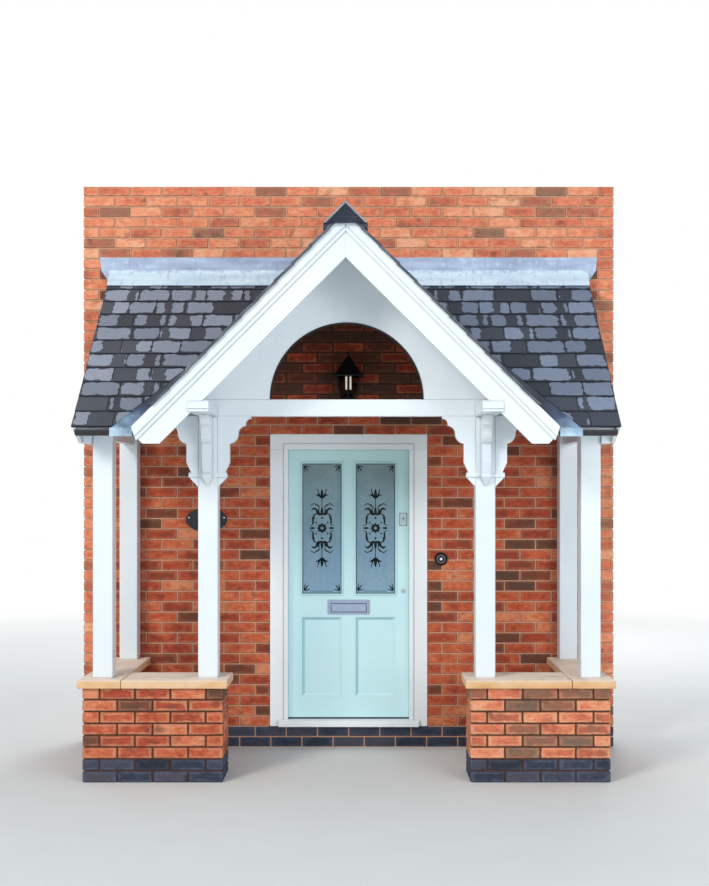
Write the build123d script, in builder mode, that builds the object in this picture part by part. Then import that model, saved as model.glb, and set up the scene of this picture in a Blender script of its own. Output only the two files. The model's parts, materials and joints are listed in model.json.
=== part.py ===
from build123d import *
import os
from math import atan, cos, degrees, sqrt, tan, radians

# Entrance porch with the piece of house wall that carries it, in millimetres.
# X runs to the right as seen from the street, Y into the house and Z up.
# The outer face of the house wall is Y = 0 and the doorway is centred on X = 0.
# A size called height or level is measured from the paving, and one called z from the lowest ground.

# Brickwork
brick_pitch = 225
course_height = 75
mortar_joint = 10

# Ground and paving: two courses of dark engineering brick lie below the paving
base_courses = 2
paving = base_courses * course_height

# House wall
wall_bricks = 17
wall_courses = 52
wall_thickness = 300
wall_half_width = wall_bricks * brick_pitch / 2
wall_top = paving + wall_courses * course_height
doorway_bricks = 5
doorway_courses = 28
doorway_half_width = (doorway_bricks * brick_pitch + mortar_joint) / 2
doorway_top = paving + doorway_courses * course_height + mortar_joint

# Dwarf walls in front and at the sides, an L on each side of the entry
dwarf_inner_x = 785
dwarf_outer_x = 1675
dwarf_front_y = -1125
dwarf_front_depth = 328
dwarf_side_depth = 215
dwarf_courses = 6
dwarf_top = paving + dwarf_courses * course_height
dwarf_side_inner_x = dwarf_outer_x - dwarf_side_depth
dwarf_back_y = dwarf_front_y + dwarf_front_depth

# Stone coping on the dwarf walls
coping_thickness = 50
coping_overhang = 30
coping_joint = 4
coping_edge = 5
coping_top = dwarf_top + coping_thickness

# Square timber posts
post_side = 127
post_edge = 4
inner_post_inset = 106
inner_post_x = dwarf_inner_x + inner_post_inset
outer_post_x = dwarf_outer_x - dwarf_side_depth / 2
post_back_y = dwarf_front_y + dwarf_front_depth / 2 + post_side / 2
post_front_y = post_back_y - post_side
inner_post_outer_x = inner_post_x + post_side / 2
outer_post_outer_x = outer_post_x + post_side / 2

# Corbels under the beams: their outline runs out from the post's face and down from its
# bearing, past a pointed foot, an ear, a neck, a plain belly, an ogee and two hollows
corbel_thickness = 58
corbel_height = 453
corbel_foot_half_width = 3
corbel_ear_reach = 60
corbel_ear_rise = 63
corbel_ear_thickness = 13
corbel_neck_reach = 45
corbel_neck_rise = 91
corbel_belly_reach = 75
corbel_belly_rise = 155
corbel_ogee = [(81, -176), (117, -152), (130, -108)]
corbel_lower_hollow = [(130, -108), (144, -77), (178, -62)]
corbel_upper_hollow = [(178, -46), (188, -25), (214, -16)]
corbel_line_width = 3
corbel_line_depth = 2

# Beams
bearing_height = 2180
bearing_z = paving + bearing_height
tie_beam_height = 108
tie_beam_depth = 90
arm_height = 66
arm_projection = 6
arm_fillet = 16
arm_quirk = 6
arm_hollow = (4, 46)
eaves_beam_depth = 67
eaves_beam_rise = 6
side_beam_width = 64
side_beam_depth = 127
side_beam_drop = 80

# Roofs: a gable with its ridge along Y, crossed by a lean-to along the wall
slate_thickness = 14
deck_thickness = 80
gable_pitch = 45
gable_overhang = 390
gable_slate_overhang = 45
barge_front_y = dwarf_front_y - gable_overhang
gable_verge_y = barge_front_y - gable_slate_overhang
gable_eaves_setback = 116
gable_deck_reach = 60
gable_fascia_depth = 100
lean_to_wall_drop = 115
lean_to_eaves_drop = 76
lean_to_overhang = 130
lean_to_slate_overhang = 40
lean_to_eaves_y = dwarf_front_y - lean_to_overhang
lean_to_fascia_y = lean_to_eaves_y + lean_to_slate_overhang
lean_to_fascia_drop = 54
lean_to_side_overhang = 47
lean_to_half_width = dwarf_outer_x + lean_to_side_overhang
verge_board_thickness = 22
verge_slate_overhang = 10
verge_board_x = lean_to_half_width - verge_slate_overhang - verge_board_thickness
verge_board_tail = 5
verge_foot_drop = 101

# Lead in the valleys, turned down at its tail over the front of the gutter
valley_cut_back = 175
lead_thickness = 4
lead_tail_reach = 42
lead_tail_drop = 54

# Barge boards on the gable
barge_width = 189
barge_thickness = 30
barge_reach = 113
barge_foot_drop = 101
barge_foot_flat = 102
barge_knee_inset = 16
barge_knee_rise = 51
moulding_upper_width = 53
moulding_lower_width = 25
moulding_upper_proud = 22
moulding_lower_proud = 10
moulding_tip_lean = 0.25

# Round-headed opening in the gable panel
arch_radius = 492
panel_thickness = 40
panel_upstand = 24.5

# Ridge
ridge_leg = 134
ridge_thickness = 16
ridge_bed = 14
ridge_cap_thickness = 12
ridge_tile_length = 450
ridge_tile_joint = 4

# Flashing on the wall
flashing_end = 72
flashing_half_width = lean_to_half_width + flashing_end
flashing_end_slant = 12
flashing_end_drop = 80
flashing_upstand = 96
flashing_apron_depth = 136
flashing_apron_slant = 6
saddle_half_width = 192
saddle_toe = 40

# Gutters
gutter_radius = 38
gutter_wall = 3
gutter_drop = 22
gutter_reach = 150

# Door frame and leaf
frame_depth = 100
stop_depth = 50
jamb_width = 129.5
stop_overlap = 12
door_gap = 5
leaf_foot_gap = 9
leaf_thickness = 44
threshold_height = 46
threshold_nosing = 35
threshold_nosing_ease = 8
threshold_half_width = 507
door_head_depth = 112
head_bottom_z = doorway_top - door_head_depth
frame_groove_width = 6
frame_groove_depth = 8
jamb_groove_inset = 31
head_groove_inset = 40
stop_half_width = doorway_half_width - jamb_width
leaf_half_width = stop_half_width + stop_overlap
pocket_half_width = leaf_half_width + door_gap
leaf_front_y = stop_depth + door_gap
leaf_back_y = leaf_front_y + leaf_thickness
leaf_bottom_z = paving + threshold_height + leaf_foot_gap
leaf_top_z = head_bottom_z + stop_overlap
groove_x = stop_half_width + jamb_groove_inset
groove_outer_x = groove_x + frame_groove_width
groove_z = head_bottom_z + head_groove_inset

# Panels, panes and furniture of the leaf
stile_width = 113
muntin_width = 104
top_rail = 112
bottom_rail = 157
middle_rail_rise = 98
middle_rail_drop = 75
pane_inner_x = muntin_width / 2
pane_outer_x = leaf_half_width - stile_width
glass_thickness = 24
bead_width = 12
bead_proud = 6
panel_recess = 13
panel_quirk = 4
panel_moulding_width = 18
panel_moulding_angle = degrees(atan(panel_moulding_width / (panel_recess - panel_quirk)))
letter_plate_level = 855
letter_plate_z = paving + letter_plate_level
pane_top_z = leaf_top_z - top_rail
pane_bottom_z = letter_plate_z + middle_rail_rise
panel_top_z = letter_plate_z - middle_rail_drop
panel_bottom_z = leaf_bottom_z + bottom_rail
letter_plate_width = 303
letter_plate_depth = 104
letter_plate_thickness = 5
letter_plate_corner = 8
letter_rim_width = 12
letter_rim_proud = 8
letter_rim_corner = 4
flap_width = 250
flap_height = 56
flap_drop = 4
flap_z = letter_plate_z - flap_drop
flap_thickness = 4
flap_gap = 5
flap_pin_radius = 2
flap_pin_play = 0.3
flap_pin_reach = 10
flap_pin_end_play = 1
flap_axis_drop = 3
lock_backset = 54
lock_x = leaf_half_width - lock_backset
lock_level = 1493
lock_z = paving + lock_level
lock_width = 49
lock_depth = 87
lock_corner = 10
lock_thickness = 7
cylinder_radius = 15
cylinder_proud = 5
keyway_width = 2.5
keyway_length = 12
keyway_depth = 6
keyhole_level = 972
keyhole_z = paving + keyhole_level
keyhole_cover_radius = 15
keyhole_cover_thickness = 5
keyhole_width = 5
keyhole_length = 13
keyhole_depth = 4

# Butt hinges on the inner face of the left edge
hinge_foot_margin = 195
hinge_head_margin = 100
hinge_length = 100
hinge_radius = 6
hinge_plate = 3
hinge_plate_width = 33
hinge_tab = 7
hinge_face_gap = 1
hinge_leaf_rise = 1.5
hinge_leaf_web = 3.5
hinge_pin_radius = 2.5
hinge_play = 0.3
hinge_axis_x = -pocket_half_width
hinge_axis_y = frame_depth + hinge_radius + hinge_face_gap

# Lantern on the wall
lantern_y = -140
lantern_brim_height = 2512
lantern_brim_z = paving + lantern_brim_height
lantern_brim = 209
lantern_brim_thickness = 12
lantern_brim_ease = 5
lantern_roof_foot = 182
lantern_roof_head = 16
lantern_roof_rise = 138
lantern_neck_radius = 4
lantern_neck_height = 4
lantern_finial_radius = 7
lantern_finial_height = 18
lantern_glass_top = 161
lantern_glass_bottom = 110
lantern_glass_drop = 153
lantern_glass_bottom_z = lantern_brim_z - lantern_glass_drop
lantern_base_drop = 34
lantern_base_foot = 46
lantern_base_z = lantern_glass_bottom_z - lantern_base_drop
lantern_bar = 10
lantern_middle_bar = 8
lantern_pane = 3
lantern_plate_width = 60
lantern_plate_length = 150
lantern_plate_thickness = 10
lantern_plate_corner = 20
lantern_arm_radius = 8
lantern_arm_drop = 40

# Name plaque and bell push on the wall
plaque_x = -1026
plaque_level = 1491
plaque_z = paving + plaque_level
plaque_width = 298
plaque_height = 172
plaque_thickness = 8
plaque_ease = 2
bell_offset = 99.5
bell_x = doorway_half_width + bell_offset
bell_level = 1208
bell_z = paving + bell_level
bell_radius = 48
bell_rim = 7
bell_rim_proud = 12
bell_dish = 6
bell_boss_radius = 22
bell_boss_proud = 15
button_radius = 12
button_proud = 19

# Worked-out roof geometry: the gable's panel and deck stand on the tie beam, the lean-to is hung
# from the gable's ridge, its eaves lie a little below the bearing of the beams, and the gable's
# own eaves stop short of the foot of the valleys
gable_slope = tan(radians(gable_pitch))
tie_beam_top = bearing_z + tie_beam_height
deck_depth = (slate_thickness + deck_thickness) / cos(radians(gable_pitch))
gable_ridge_z = tie_beam_top + panel_upstand + inner_post_outer_x * gable_slope + deck_depth
lean_to_wall_z = gable_ridge_z - lean_to_wall_drop
lean_to_eaves_z = bearing_z - lean_to_eaves_drop
lean_to_fascia_z = lean_to_eaves_z - lean_to_fascia_drop
lean_to_slope = (lean_to_wall_z - lean_to_eaves_z) / -lean_to_eaves_y
lean_to_angle = degrees(atan(lean_to_slope))
valley_top_x = lean_to_wall_drop / gable_slope
valley_foot_x = valley_top_x + (lean_to_wall_z - lean_to_eaves_z) / gable_slope
gable_slate_half_width = valley_foot_x - gable_eaves_setback
gable_deck_half_width = gable_slate_half_width + gable_deck_reach
barge_tip_x = gable_slate_half_width + barge_reach
gutter_inner_x = gable_slate_half_width + gutter_reach
verge_foot_z = lean_to_eaves_z - verge_foot_drop
eaves_beam_z = lean_to_eaves_z + eaves_beam_rise
side_beam_z = eaves_beam_z - side_beam_drop
gutter_top_z = lean_to_eaves_z - gutter_drop


def gable_drop(thickness):
    """Height taken up by a layer of this thickness on the gable slopes."""
    return thickness / cos(radians(gable_pitch))


def lean_to_drop(thickness):
    """Height taken up by a layer of this thickness on the lean-to slopes."""
    return thickness / cos(radians(lean_to_angle))


def lean_to_height(y, below=0):
    """Height of the lean-to's slate surface, or of a plane below it, at y."""
    return lean_to_wall_z + lean_to_slope * y - lean_to_drop(below)


def gable_height(x, below=0):
    """Height of the gable's slate surface, or of a plane below it, at x."""
    return gable_ridge_z - abs(x) * gable_slope - gable_drop(below)


def valley_x(y):
    """Where the valley lies at y, on the right."""
    return valley_top_x - lean_to_slope * y / gable_slope


def front_plane(y):
    """Upright plane at y with X to the right and Z up, facing the street."""
    return Plane.XZ.offset(-y)


def rectangle_between(low_x, low_y, high_x, high_y, mode=Mode.ADD):
    """Rectangle from corner to corner in the sketch being drawn."""
    with Locations(((low_x + high_x) / 2, (low_y + high_y) / 2)):
        Rectangle(high_x - low_x, high_y - low_y, mode=mode)


def beyond_valley(shift, mode=Mode.ADD):
    """Plan of all that lies on the lean-to's side of the right-hand valley, shifted along X."""
    far_y = 2 * gable_verge_y
    far_x = valley_x(far_y) + 2 * dwarf_outer_x
    Polygon(
        (valley_top_x + shift, 0), (valley_x(far_y) + shift, far_y), (far_x, far_y), (far_x, 0),
        align=None, mode=mode)


def gable_layer(front_y, side_x, cut_back, top, bottom):
    """Right-hand gable roof layer between two depths below the slates, cut back from the valley."""
    with BuildPart() as layer:
        with BuildSketch(front_plane(front_y)):
            Polygon(
                (0, gable_height(0, top)), (side_x, gable_height(side_x, top)),
                (side_x, gable_height(side_x, bottom)), (0, gable_height(0, bottom)), align=None)
        extrude(amount=front_y)
        with BuildSketch(Plane.XY):
            beyond_valley(-cut_back)
        extrude(amount=2 * gable_ridge_z, mode=Mode.SUBTRACT)
    return layer


def lean_to_layer(front_y, side_x, cut_back, top, bottom):
    """Right-hand lean-to roof layer between two depths below the slates, cut back from the valley."""
    with BuildPart() as layer:
        with BuildSketch(Plane.YZ):
            Polygon(
                (0, lean_to_height(0, top)), (front_y, lean_to_height(front_y, top)),
                (front_y, lean_to_height(front_y, bottom)), (0, lean_to_height(0, bottom)), align=None)
        extrude(amount=side_x)
        with BuildSketch(Plane.XY):
            beyond_valley(cut_back)
        extrude(amount=2 * gable_ridge_z, mode=Mode.INTERSECT)
    return layer


def mirrored(piece):
    """The same piece on the other side of the centre line."""
    with BuildPart() as other:
        mirror(piece.part, about=Plane.YZ)
    return other


def both_sides(piece):
    """The piece and its mirror image as two solids of one node."""
    with BuildPart() as pair:
        add(piece.part)
        mirror(piece.part, about=Plane.YZ)
    return pair


# House wall, split beside, over and under the doorway
with BuildPart() as wall_right:
    with BuildSketch(Plane.XY):
        rectangle_between(doorway_half_width, 0, wall_half_width, wall_thickness)
    extrude(amount=wall_top)
wall_left = mirrored(wall_right)

with BuildPart() as wall_over_door:
    with BuildSketch(Plane.XY.offset(doorway_top)):
        rectangle_between(-doorway_half_width, 0, doorway_half_width, wall_thickness)
    extrude(amount=wall_top - doorway_top)

with BuildPart() as wall_under_door:
    with BuildSketch(Plane.XY):
        rectangle_between(-doorway_half_width, 0, doorway_half_width, wall_thickness)
    extrude(amount=paving)

# Dwarf walls and their coping
with BuildPart() as dwarf_wall_right:
    with BuildSketch(Plane.XY):
        rectangle_between(dwarf_inner_x, dwarf_front_y, dwarf_outer_x, dwarf_back_y)
        rectangle_between(dwarf_side_inner_x, dwarf_back_y, dwarf_outer_x, 0)
    extrude(amount=dwarf_top)
dwarf_wall_left = mirrored(dwarf_wall_right)

coping_side_inner_x = dwarf_side_inner_x - coping_overhang
coping_front_y = dwarf_front_y - coping_overhang
coping_back_y = dwarf_back_y + coping_overhang
with BuildPart() as coping_right:
    with BuildSketch(Plane.XY.offset(dwarf_top)):
        rectangle_between(
            dwarf_inner_x - coping_overhang, coping_front_y,
            coping_side_inner_x - coping_joint, coping_back_y)
        rectangle_between(coping_side_inner_x, coping_front_y, dwarf_outer_x + coping_overhang, 0)
    extrude(amount=coping_thickness)
    top_edges = coping_right.edges().group_by(Axis.Z)[-1]
    chamfer(top_edges, coping_edge)
coping_left = mirrored(coping_right)


def square_post(x, front_y, top_z):
    """Post with eased arrises standing on the coping."""
    with BuildPart() as post:
        with BuildSketch(Plane.XY.offset(coping_top)):
            rectangle_between(x - post_side / 2, front_y, x + post_side / 2, front_y + post_side)
        extrude(amount=top_z - coping_top)
        chamfer(post.edges().filter_by(Axis.Z), post_edge)
    return post


inner_post_right = square_post(inner_post_x, post_front_y, bearing_z)
inner_post_left = mirrored(inner_post_right)
outer_post_right = square_post(outer_post_x, post_front_y, eaves_beam_z)
outer_post_left = mirrored(outer_post_right)
wall_post_right = square_post(outer_post_x, -post_side, side_beam_z + side_beam_depth)
wall_post_left = mirrored(wall_post_right)

# Corbels on the inner posts, all of one profile: a board on each side and one in front
corbel_ear_z = corbel_ear_rise - corbel_height
with BuildLine() as corbel_outline:
    Polyline(
        (0, 0), (0, -corbel_height), (corbel_ear_reach, corbel_ear_z),
        (corbel_ear_reach, corbel_ear_z + corbel_ear_thickness),
        (corbel_neck_reach, corbel_neck_rise - corbel_height),
        (corbel_belly_reach, corbel_belly_rise - corbel_height), (corbel_belly_reach, corbel_ogee[0][1]),
        corbel_ogee[0])
    ThreePointArc(*corbel_ogee)
    ThreePointArc(*corbel_lower_hollow)
    Line(corbel_lower_hollow[-1], corbel_upper_hollow[0])
    ThreePointArc(*corbel_upper_hollow)
    Polyline(corbel_upper_hollow[-1], (corbel_upper_hollow[-1][0], 0), (0, 0))

with BuildPart() as corbel_outer:
    outer_face = Plane(
        origin=(inner_post_outer_x, post_front_y, bearing_z), x_dir=(1, 0, 0), z_dir=(0, -1, 0))
    with BuildSketch(outer_face):
        add(corbel_outline.line)
        make_face()
    extrude(amount=-corbel_thickness)
    with BuildSketch(outer_face):
        rectangle_between(0, corbel_ear_z - corbel_line_width, corbel_ear_reach, corbel_ear_z)
    extrude(amount=-corbel_line_depth, mode=Mode.SUBTRACT)

with BuildPart() as corbel_front:
    front_face = Plane(
        origin=(inner_post_x, post_front_y, bearing_z), x_dir=(0, -1, 0), z_dir=(-1, 0, 0))
    with BuildSketch(front_face):
        add(corbel_outline.line)
        make_face()
    extrude(amount=corbel_thickness / 2, both=True)
    with BuildSketch(front_plane(post_front_y)):
        foot_z = bearing_z - corbel_height
        half = corbel_thickness / 2
        Polygon(
            (inner_post_x - corbel_foot_half_width, foot_z),
            (inner_post_x + corbel_foot_half_width, foot_z),
            (inner_post_x + half, foot_z + corbel_ear_rise), (inner_post_x + half, bearing_z),
            (inner_post_x - half, bearing_z), (inner_post_x - half, foot_z + corbel_ear_rise), align=None)
    extrude(amount=2 * post_side, mode=Mode.INTERSECT)

with BuildPart() as corbels_right:
    add(corbel_front.part)
    add(corbel_outer.part)
    mirror(corbel_outer.part, about=Plane.YZ.offset(inner_post_x))
corbels_left = mirrored(corbels_right)

# Tie beam over the entry and the arms that carry the barge boards
with BuildPart() as tie_beam:
    with BuildSketch(Plane.XY.offset(bearing_z)):
        rectangle_between(
            -inner_post_outer_x, post_front_y, inner_post_outer_x, post_front_y + tie_beam_depth)
    extrude(amount=tie_beam_height)

arm_front_y = barge_front_y - arm_projection
arm_hollow_foot = (arm_front_y + arm_quirk, bearing_z + arm_fillet + arm_quirk)
arm_hollow_middle = (arm_front_y + arm_hollow[0], bearing_z + arm_hollow[1])
arm_hollow_head = (arm_front_y, bearing_z + arm_height)
with BuildPart() as front_arm:
    with BuildSketch(Plane.YZ.offset(inner_post_x - post_side / 2)):
        with BuildLine():
            Polyline(
                (post_front_y, bearing_z), (arm_front_y, bearing_z), (arm_front_y, bearing_z + arm_fillet),
                (arm_front_y + arm_quirk, bearing_z + arm_fillet), arm_hollow_foot)
            ThreePointArc(arm_hollow_foot, arm_hollow_middle, arm_hollow_head)
            Polyline(arm_hollow_head, (post_front_y, bearing_z + arm_height), (post_front_y, bearing_z))
        make_face()
    extrude(amount=post_side)
front_arms = both_sides(front_arm)

# Gable roof and lean-to roof decks
gable_deck_front_y = barge_front_y + barge_thickness
gable_fascia_z = gable_height(gable_deck_half_width, slate_thickness) - gable_fascia_depth
deck_foot = slate_thickness + deck_thickness
gable_deck_full = gable_layer(gable_deck_front_y, gable_deck_half_width, 0, slate_thickness, deck_foot)
with BuildPart() as gable_deck_right:
    add(gable_deck_full.part)
    with BuildSketch(Plane.XY):
        rectangle_between(0, gable_deck_front_y, gable_deck_half_width, 0)
    extrude(amount=gable_fascia_z, mode=Mode.SUBTRACT)
gable_deck_left = mirrored(gable_deck_right)

lean_to_deck_full = lean_to_layer(lean_to_fascia_y, verge_board_x, 0, slate_thickness, deck_foot)
with BuildPart() as lean_to_deck_right:
    add(lean_to_deck_full.part)
    with BuildSketch(Plane.XY):
        rectangle_between(0, lean_to_eaves_y, lean_to_half_width, 0)
    extrude(amount=lean_to_fascia_z, mode=Mode.SUBTRACT)
lean_to_deck_left = mirrored(lean_to_deck_right)

# Slate layers, cut back on both sides of the open valleys
gable_slates_right = gable_layer(
    gable_verge_y, gable_slate_half_width, valley_cut_back, 0, slate_thickness)
gable_slates_left = mirrored(gable_slates_right)
lean_to_slates_right = lean_to_layer(
    lean_to_eaves_y, lean_to_half_width, valley_cut_back, 0, slate_thickness)
lean_to_slates_left = mirrored(lean_to_slates_right)

# Lead in the valleys, between the cut slates, with a tail turned down over the gutter's front
lead_top = slate_thickness - lead_thickness
lead_tail_z = lean_to_height(lean_to_eaves_y, lead_top)
lead_tail_y = lean_to_eaves_y - lead_tail_reach
lead_foot_x = valley_foot_x + valley_cut_back
lead_on_gable = gable_layer(barge_front_y, barge_tip_x, 0, lead_top, slate_thickness)
lead_on_lean_to = lean_to_layer(lean_to_eaves_y, lean_to_half_width, 0, lead_top, slate_thickness)
with BuildPart() as valley_lead_right:
    add(lead_on_gable.part)
    add(lead_on_lean_to.part)
    with BuildSketch(Plane.XY):
        rectangle_between(0, gable_verge_y, gable_slate_half_width, 0)
        beyond_valley(-valley_cut_back, mode=Mode.SUBTRACT)
        beyond_valley(valley_cut_back)
    extrude(amount=2 * gable_ridge_z, mode=Mode.SUBTRACT)
    with BuildSketch(Plane.YZ.offset(gutter_inner_x)):
        Polygon(
            (lean_to_eaves_y, lead_tail_z), (lead_tail_y, lead_tail_z),
            (lead_tail_y, lead_tail_z - lead_tail_drop),
            (lead_tail_y + lead_thickness, lead_tail_z - lead_tail_drop),
            (lead_tail_y + lead_thickness, lead_tail_z - lead_thickness),
            (lean_to_eaves_y, lead_tail_z - lead_thickness), align=None)
    extrude(amount=lead_foot_x - gutter_inner_x)
valley_lead_left = mirrored(valley_lead_right)

# Gable panel with its round-headed opening
with BuildPart() as arch_panel:
    with BuildSketch(front_plane(post_front_y)):
        Polygon(
            (-inner_post_outer_x, tie_beam_top), (inner_post_outer_x, tie_beam_top),
            (inner_post_outer_x, gable_height(inner_post_outer_x, deck_foot)),
            (0, gable_height(0, deck_foot)),
            (-inner_post_outer_x, gable_height(inner_post_outer_x, deck_foot)), align=None)
        with Locations((0, tie_beam_top)):
            Circle(arch_radius, mode=Mode.SUBTRACT)
    extrude(amount=-panel_thickness)

# Barge boards, notched round the ends of the arms, and their planted moulding
barge_drop = gable_drop(barge_width)
barge_foot_z = gable_height(barge_tip_x, slate_thickness) - barge_foot_drop
barge_foot_x = (gable_height(0, slate_thickness) - barge_drop - barge_foot_z) / gable_slope
with BuildPart() as barge_board_right:
    with BuildSketch(front_plane(barge_front_y)):
        Polygon(
            (0, gable_height(0, slate_thickness)),
            (barge_tip_x, gable_height(barge_tip_x, slate_thickness)),
            (barge_tip_x - barge_knee_inset, barge_foot_z + barge_knee_rise),
            (barge_foot_x + barge_foot_flat, barge_foot_z), (barge_foot_x, barge_foot_z),
            (0, gable_height(0, slate_thickness) - barge_drop), align=None)
        rectangle_between(
            inner_post_x - post_side / 2, bearing_z, inner_post_outer_x, bearing_z + arm_height,
            mode=Mode.SUBTRACT)
    extrude(amount=-barge_thickness)
barge_board_left = mirrored(barge_board_right)


def barge_band(start, end):
    """Band along the barge board between two distances from its upper edge."""
    tip_start = barge_tip_x - gable_drop(start) * moulding_tip_lean
    tip_end = barge_tip_x - gable_drop(end) * moulding_tip_lean
    Polygon(
        (0, gable_height(0, slate_thickness + start)),
        (tip_start, gable_height(tip_start, slate_thickness + start)),
        (tip_end, gable_height(tip_end, slate_thickness + end)),
        (0, gable_height(0, slate_thickness + end)), align=None)


with BuildPart() as barge_moulding_right:
    with BuildSketch(front_plane(barge_front_y)):
        barge_band(0, moulding_upper_width)
    extrude(amount=moulding_upper_proud)
    with BuildSketch(front_plane(barge_front_y)):
        barge_band(moulding_upper_width, moulding_upper_width + moulding_lower_width)
    extrude(amount=moulding_lower_proud)
barge_moulding_left = mirrored(barge_moulding_right)

# Eaves beams between inner and outer posts, cut to the underside of the roofs
with BuildPart() as eaves_beam:
    with BuildSketch(Plane.XY.offset(eaves_beam_z)):
        rectangle_between(
            inner_post_outer_x, post_back_y - eaves_beam_depth, outer_post_outer_x, post_back_y)
    extrude(amount=2 * post_side)
    add(gable_deck_right.part, mode=Mode.SUBTRACT)
    add(lean_to_deck_right.part, mode=Mode.SUBTRACT)
with BuildPart() as eaves_beam_below_roof:
    add(eaves_beam.part.solids().sort_by(Axis.Z)[0])
eaves_beams = both_sides(eaves_beam_below_roof)

# Side beams from the outer posts to the wall posts
with BuildPart() as side_beam:
    with BuildSketch(Plane.XY.offset(side_beam_z)):
        rectangle_between(
            outer_post_x - side_beam_width / 2, post_back_y, outer_post_x + side_beam_width / 2, -post_side)
    extrude(amount=side_beam_depth)
side_beams = both_sides(side_beam)

# Verge boards on the lean-to and the packing between them and the outer posts
verge_drop = lean_to_drop(barge_width)
verge_foot_y = (verge_foot_z - lean_to_wall_z + lean_to_drop(slate_thickness) + verge_drop) / lean_to_slope
verge_tail_y = lean_to_eaves_y + verge_board_tail
with BuildPart() as verge_board:
    with BuildSketch(Plane.YZ.offset(verge_board_x)):
        Polygon(
            (0, lean_to_height(0, slate_thickness)),
            (verge_tail_y, lean_to_height(verge_tail_y, slate_thickness)), (verge_foot_y, verge_foot_z),
            (0, lean_to_height(0, slate_thickness) - verge_drop), align=None)
    extrude(amount=verge_board_thickness)
verge_boards = both_sides(verge_board)

with BuildPart() as eaves_box:
    with BuildSketch(Plane.XY.offset(verge_foot_z)):
        rectangle_between(outer_post_outer_x, verge_foot_y, verge_board_x, post_back_y)
    extrude(amount=eaves_beam_z - verge_foot_z)
eaves_boxes = both_sides(eaves_box)

# Ridge tiles, bedded on the slates, with a closed front end
ridge_top = -ridge_thickness - ridge_bed
with BuildPart() as ridge_tiles:
    tile_front_y = gable_verge_y
    while tile_front_y < -lead_thickness:
        tile_length = min(ridge_tile_length - ridge_tile_joint, -lead_thickness - tile_front_y)
        with BuildSketch(front_plane(tile_front_y)):
            Polygon(
                (0, gable_height(0, ridge_top)), (ridge_leg, gable_height(ridge_leg, ridge_top)),
                (ridge_leg, gable_height(ridge_leg)), (0, gable_height(0)),
                (-ridge_leg, gable_height(ridge_leg)), (-ridge_leg, gable_height(ridge_leg, ridge_top)),
                align=None)
        extrude(amount=-tile_length)
        tile_front_y += ridge_tile_length
    add(valley_lead_right.part, mode=Mode.SUBTRACT)
    add(valley_lead_left.part, mode=Mode.SUBTRACT)

with BuildPart() as ridge_cap:
    with BuildSketch(front_plane(gable_verge_y)):
        Polygon(
            (0, gable_height(0, ridge_top)), (ridge_leg, gable_height(ridge_leg, ridge_top)),
            (-ridge_leg, gable_height(ridge_leg, ridge_top)), align=None)
    extrude(amount=ridge_cap_thickness)

# Lead flashing: an upstand on the wall that runs down past the slates at its ends and up over
# the ridge as a saddle, and an apron dressed over the slates
apron_full = lean_to_layer(
    -flashing_apron_depth, lean_to_half_width + lead_thickness, valley_cut_back, -lead_thickness, 0)
with BuildPart() as flashing_apron_right:
    add(apron_full.part)
    with BuildSketch(Plane.XY):
        Polygon(
            (0, 0), (lean_to_half_width + lead_thickness, 0),
            (lean_to_half_width - flashing_apron_slant, -flashing_apron_depth), (0, -flashing_apron_depth),
            align=None)
    extrude(amount=2 * gable_ridge_z, mode=Mode.INTERSECT)
with BuildPart() as flashing:
    with BuildSketch(front_plane(0)):
        upstand_top = lean_to_wall_z + flashing_upstand
        for side in (-1, 1):
            Polygon(
                (0, gable_height(0, ridge_top)), (0, gable_height(0, ridge_top) + flashing_upstand),
                (side * saddle_half_width, upstand_top), (side * flashing_half_width, upstand_top),
                (side * (flashing_half_width - flashing_end_slant), lean_to_wall_z),
                (side * (lean_to_half_width + 2 * lead_thickness), lean_to_wall_z - flashing_end_drop),
                (side * (lean_to_half_width + lead_thickness), lean_to_wall_z),
                (side * (ridge_leg + saddle_toe), lean_to_wall_z),
                (side * ridge_leg, gable_height(ridge_leg, ridge_top)), align=None)
    extrude(amount=lead_thickness)
    add(flashing_apron_right.part)
    mirror(flashing_apron_right.part, about=Plane.YZ)

# Half-round gutters under the lean-to eaves
with BuildPart() as gutter:
    gutter_centre_y = lean_to_fascia_y - gutter_radius
    with BuildSketch(Plane.YZ.offset(gutter_inner_x)):
        with Locations((gutter_centre_y, gutter_top_z)):
            Circle(gutter_radius)
        rectangle_between(
            gutter_centre_y - gutter_radius, gutter_top_z, gutter_centre_y + gutter_radius,
            gutter_top_z + gutter_radius, mode=Mode.SUBTRACT)
    extrude(amount=verge_board_x - gutter_inner_x)
    with BuildSketch(Plane.YZ.offset(gutter_inner_x + gutter_wall)):
        with Locations((gutter_centre_y, gutter_top_z)):
            Circle(gutter_radius - gutter_wall)
    extrude(amount=verge_board_x - gutter_inner_x - 2 * gutter_wall, mode=Mode.SUBTRACT)
gutters = both_sides(gutter)

# Door frame: two jambs, a head and a threshold
with BuildPart() as door_jamb_right:
    with BuildSketch(Plane.XY.offset(paving)):
        rectangle_between(stop_half_width, 0, doorway_half_width, frame_depth)
        rectangle_between(stop_half_width, stop_depth, pocket_half_width, frame_depth, mode=Mode.SUBTRACT)
        rectangle_between(groove_x, 0, groove_outer_x, frame_groove_depth, mode=Mode.SUBTRACT)
    extrude(amount=head_bottom_z - paving)
door_jamb_left = mirrored(door_jamb_right)

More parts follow.
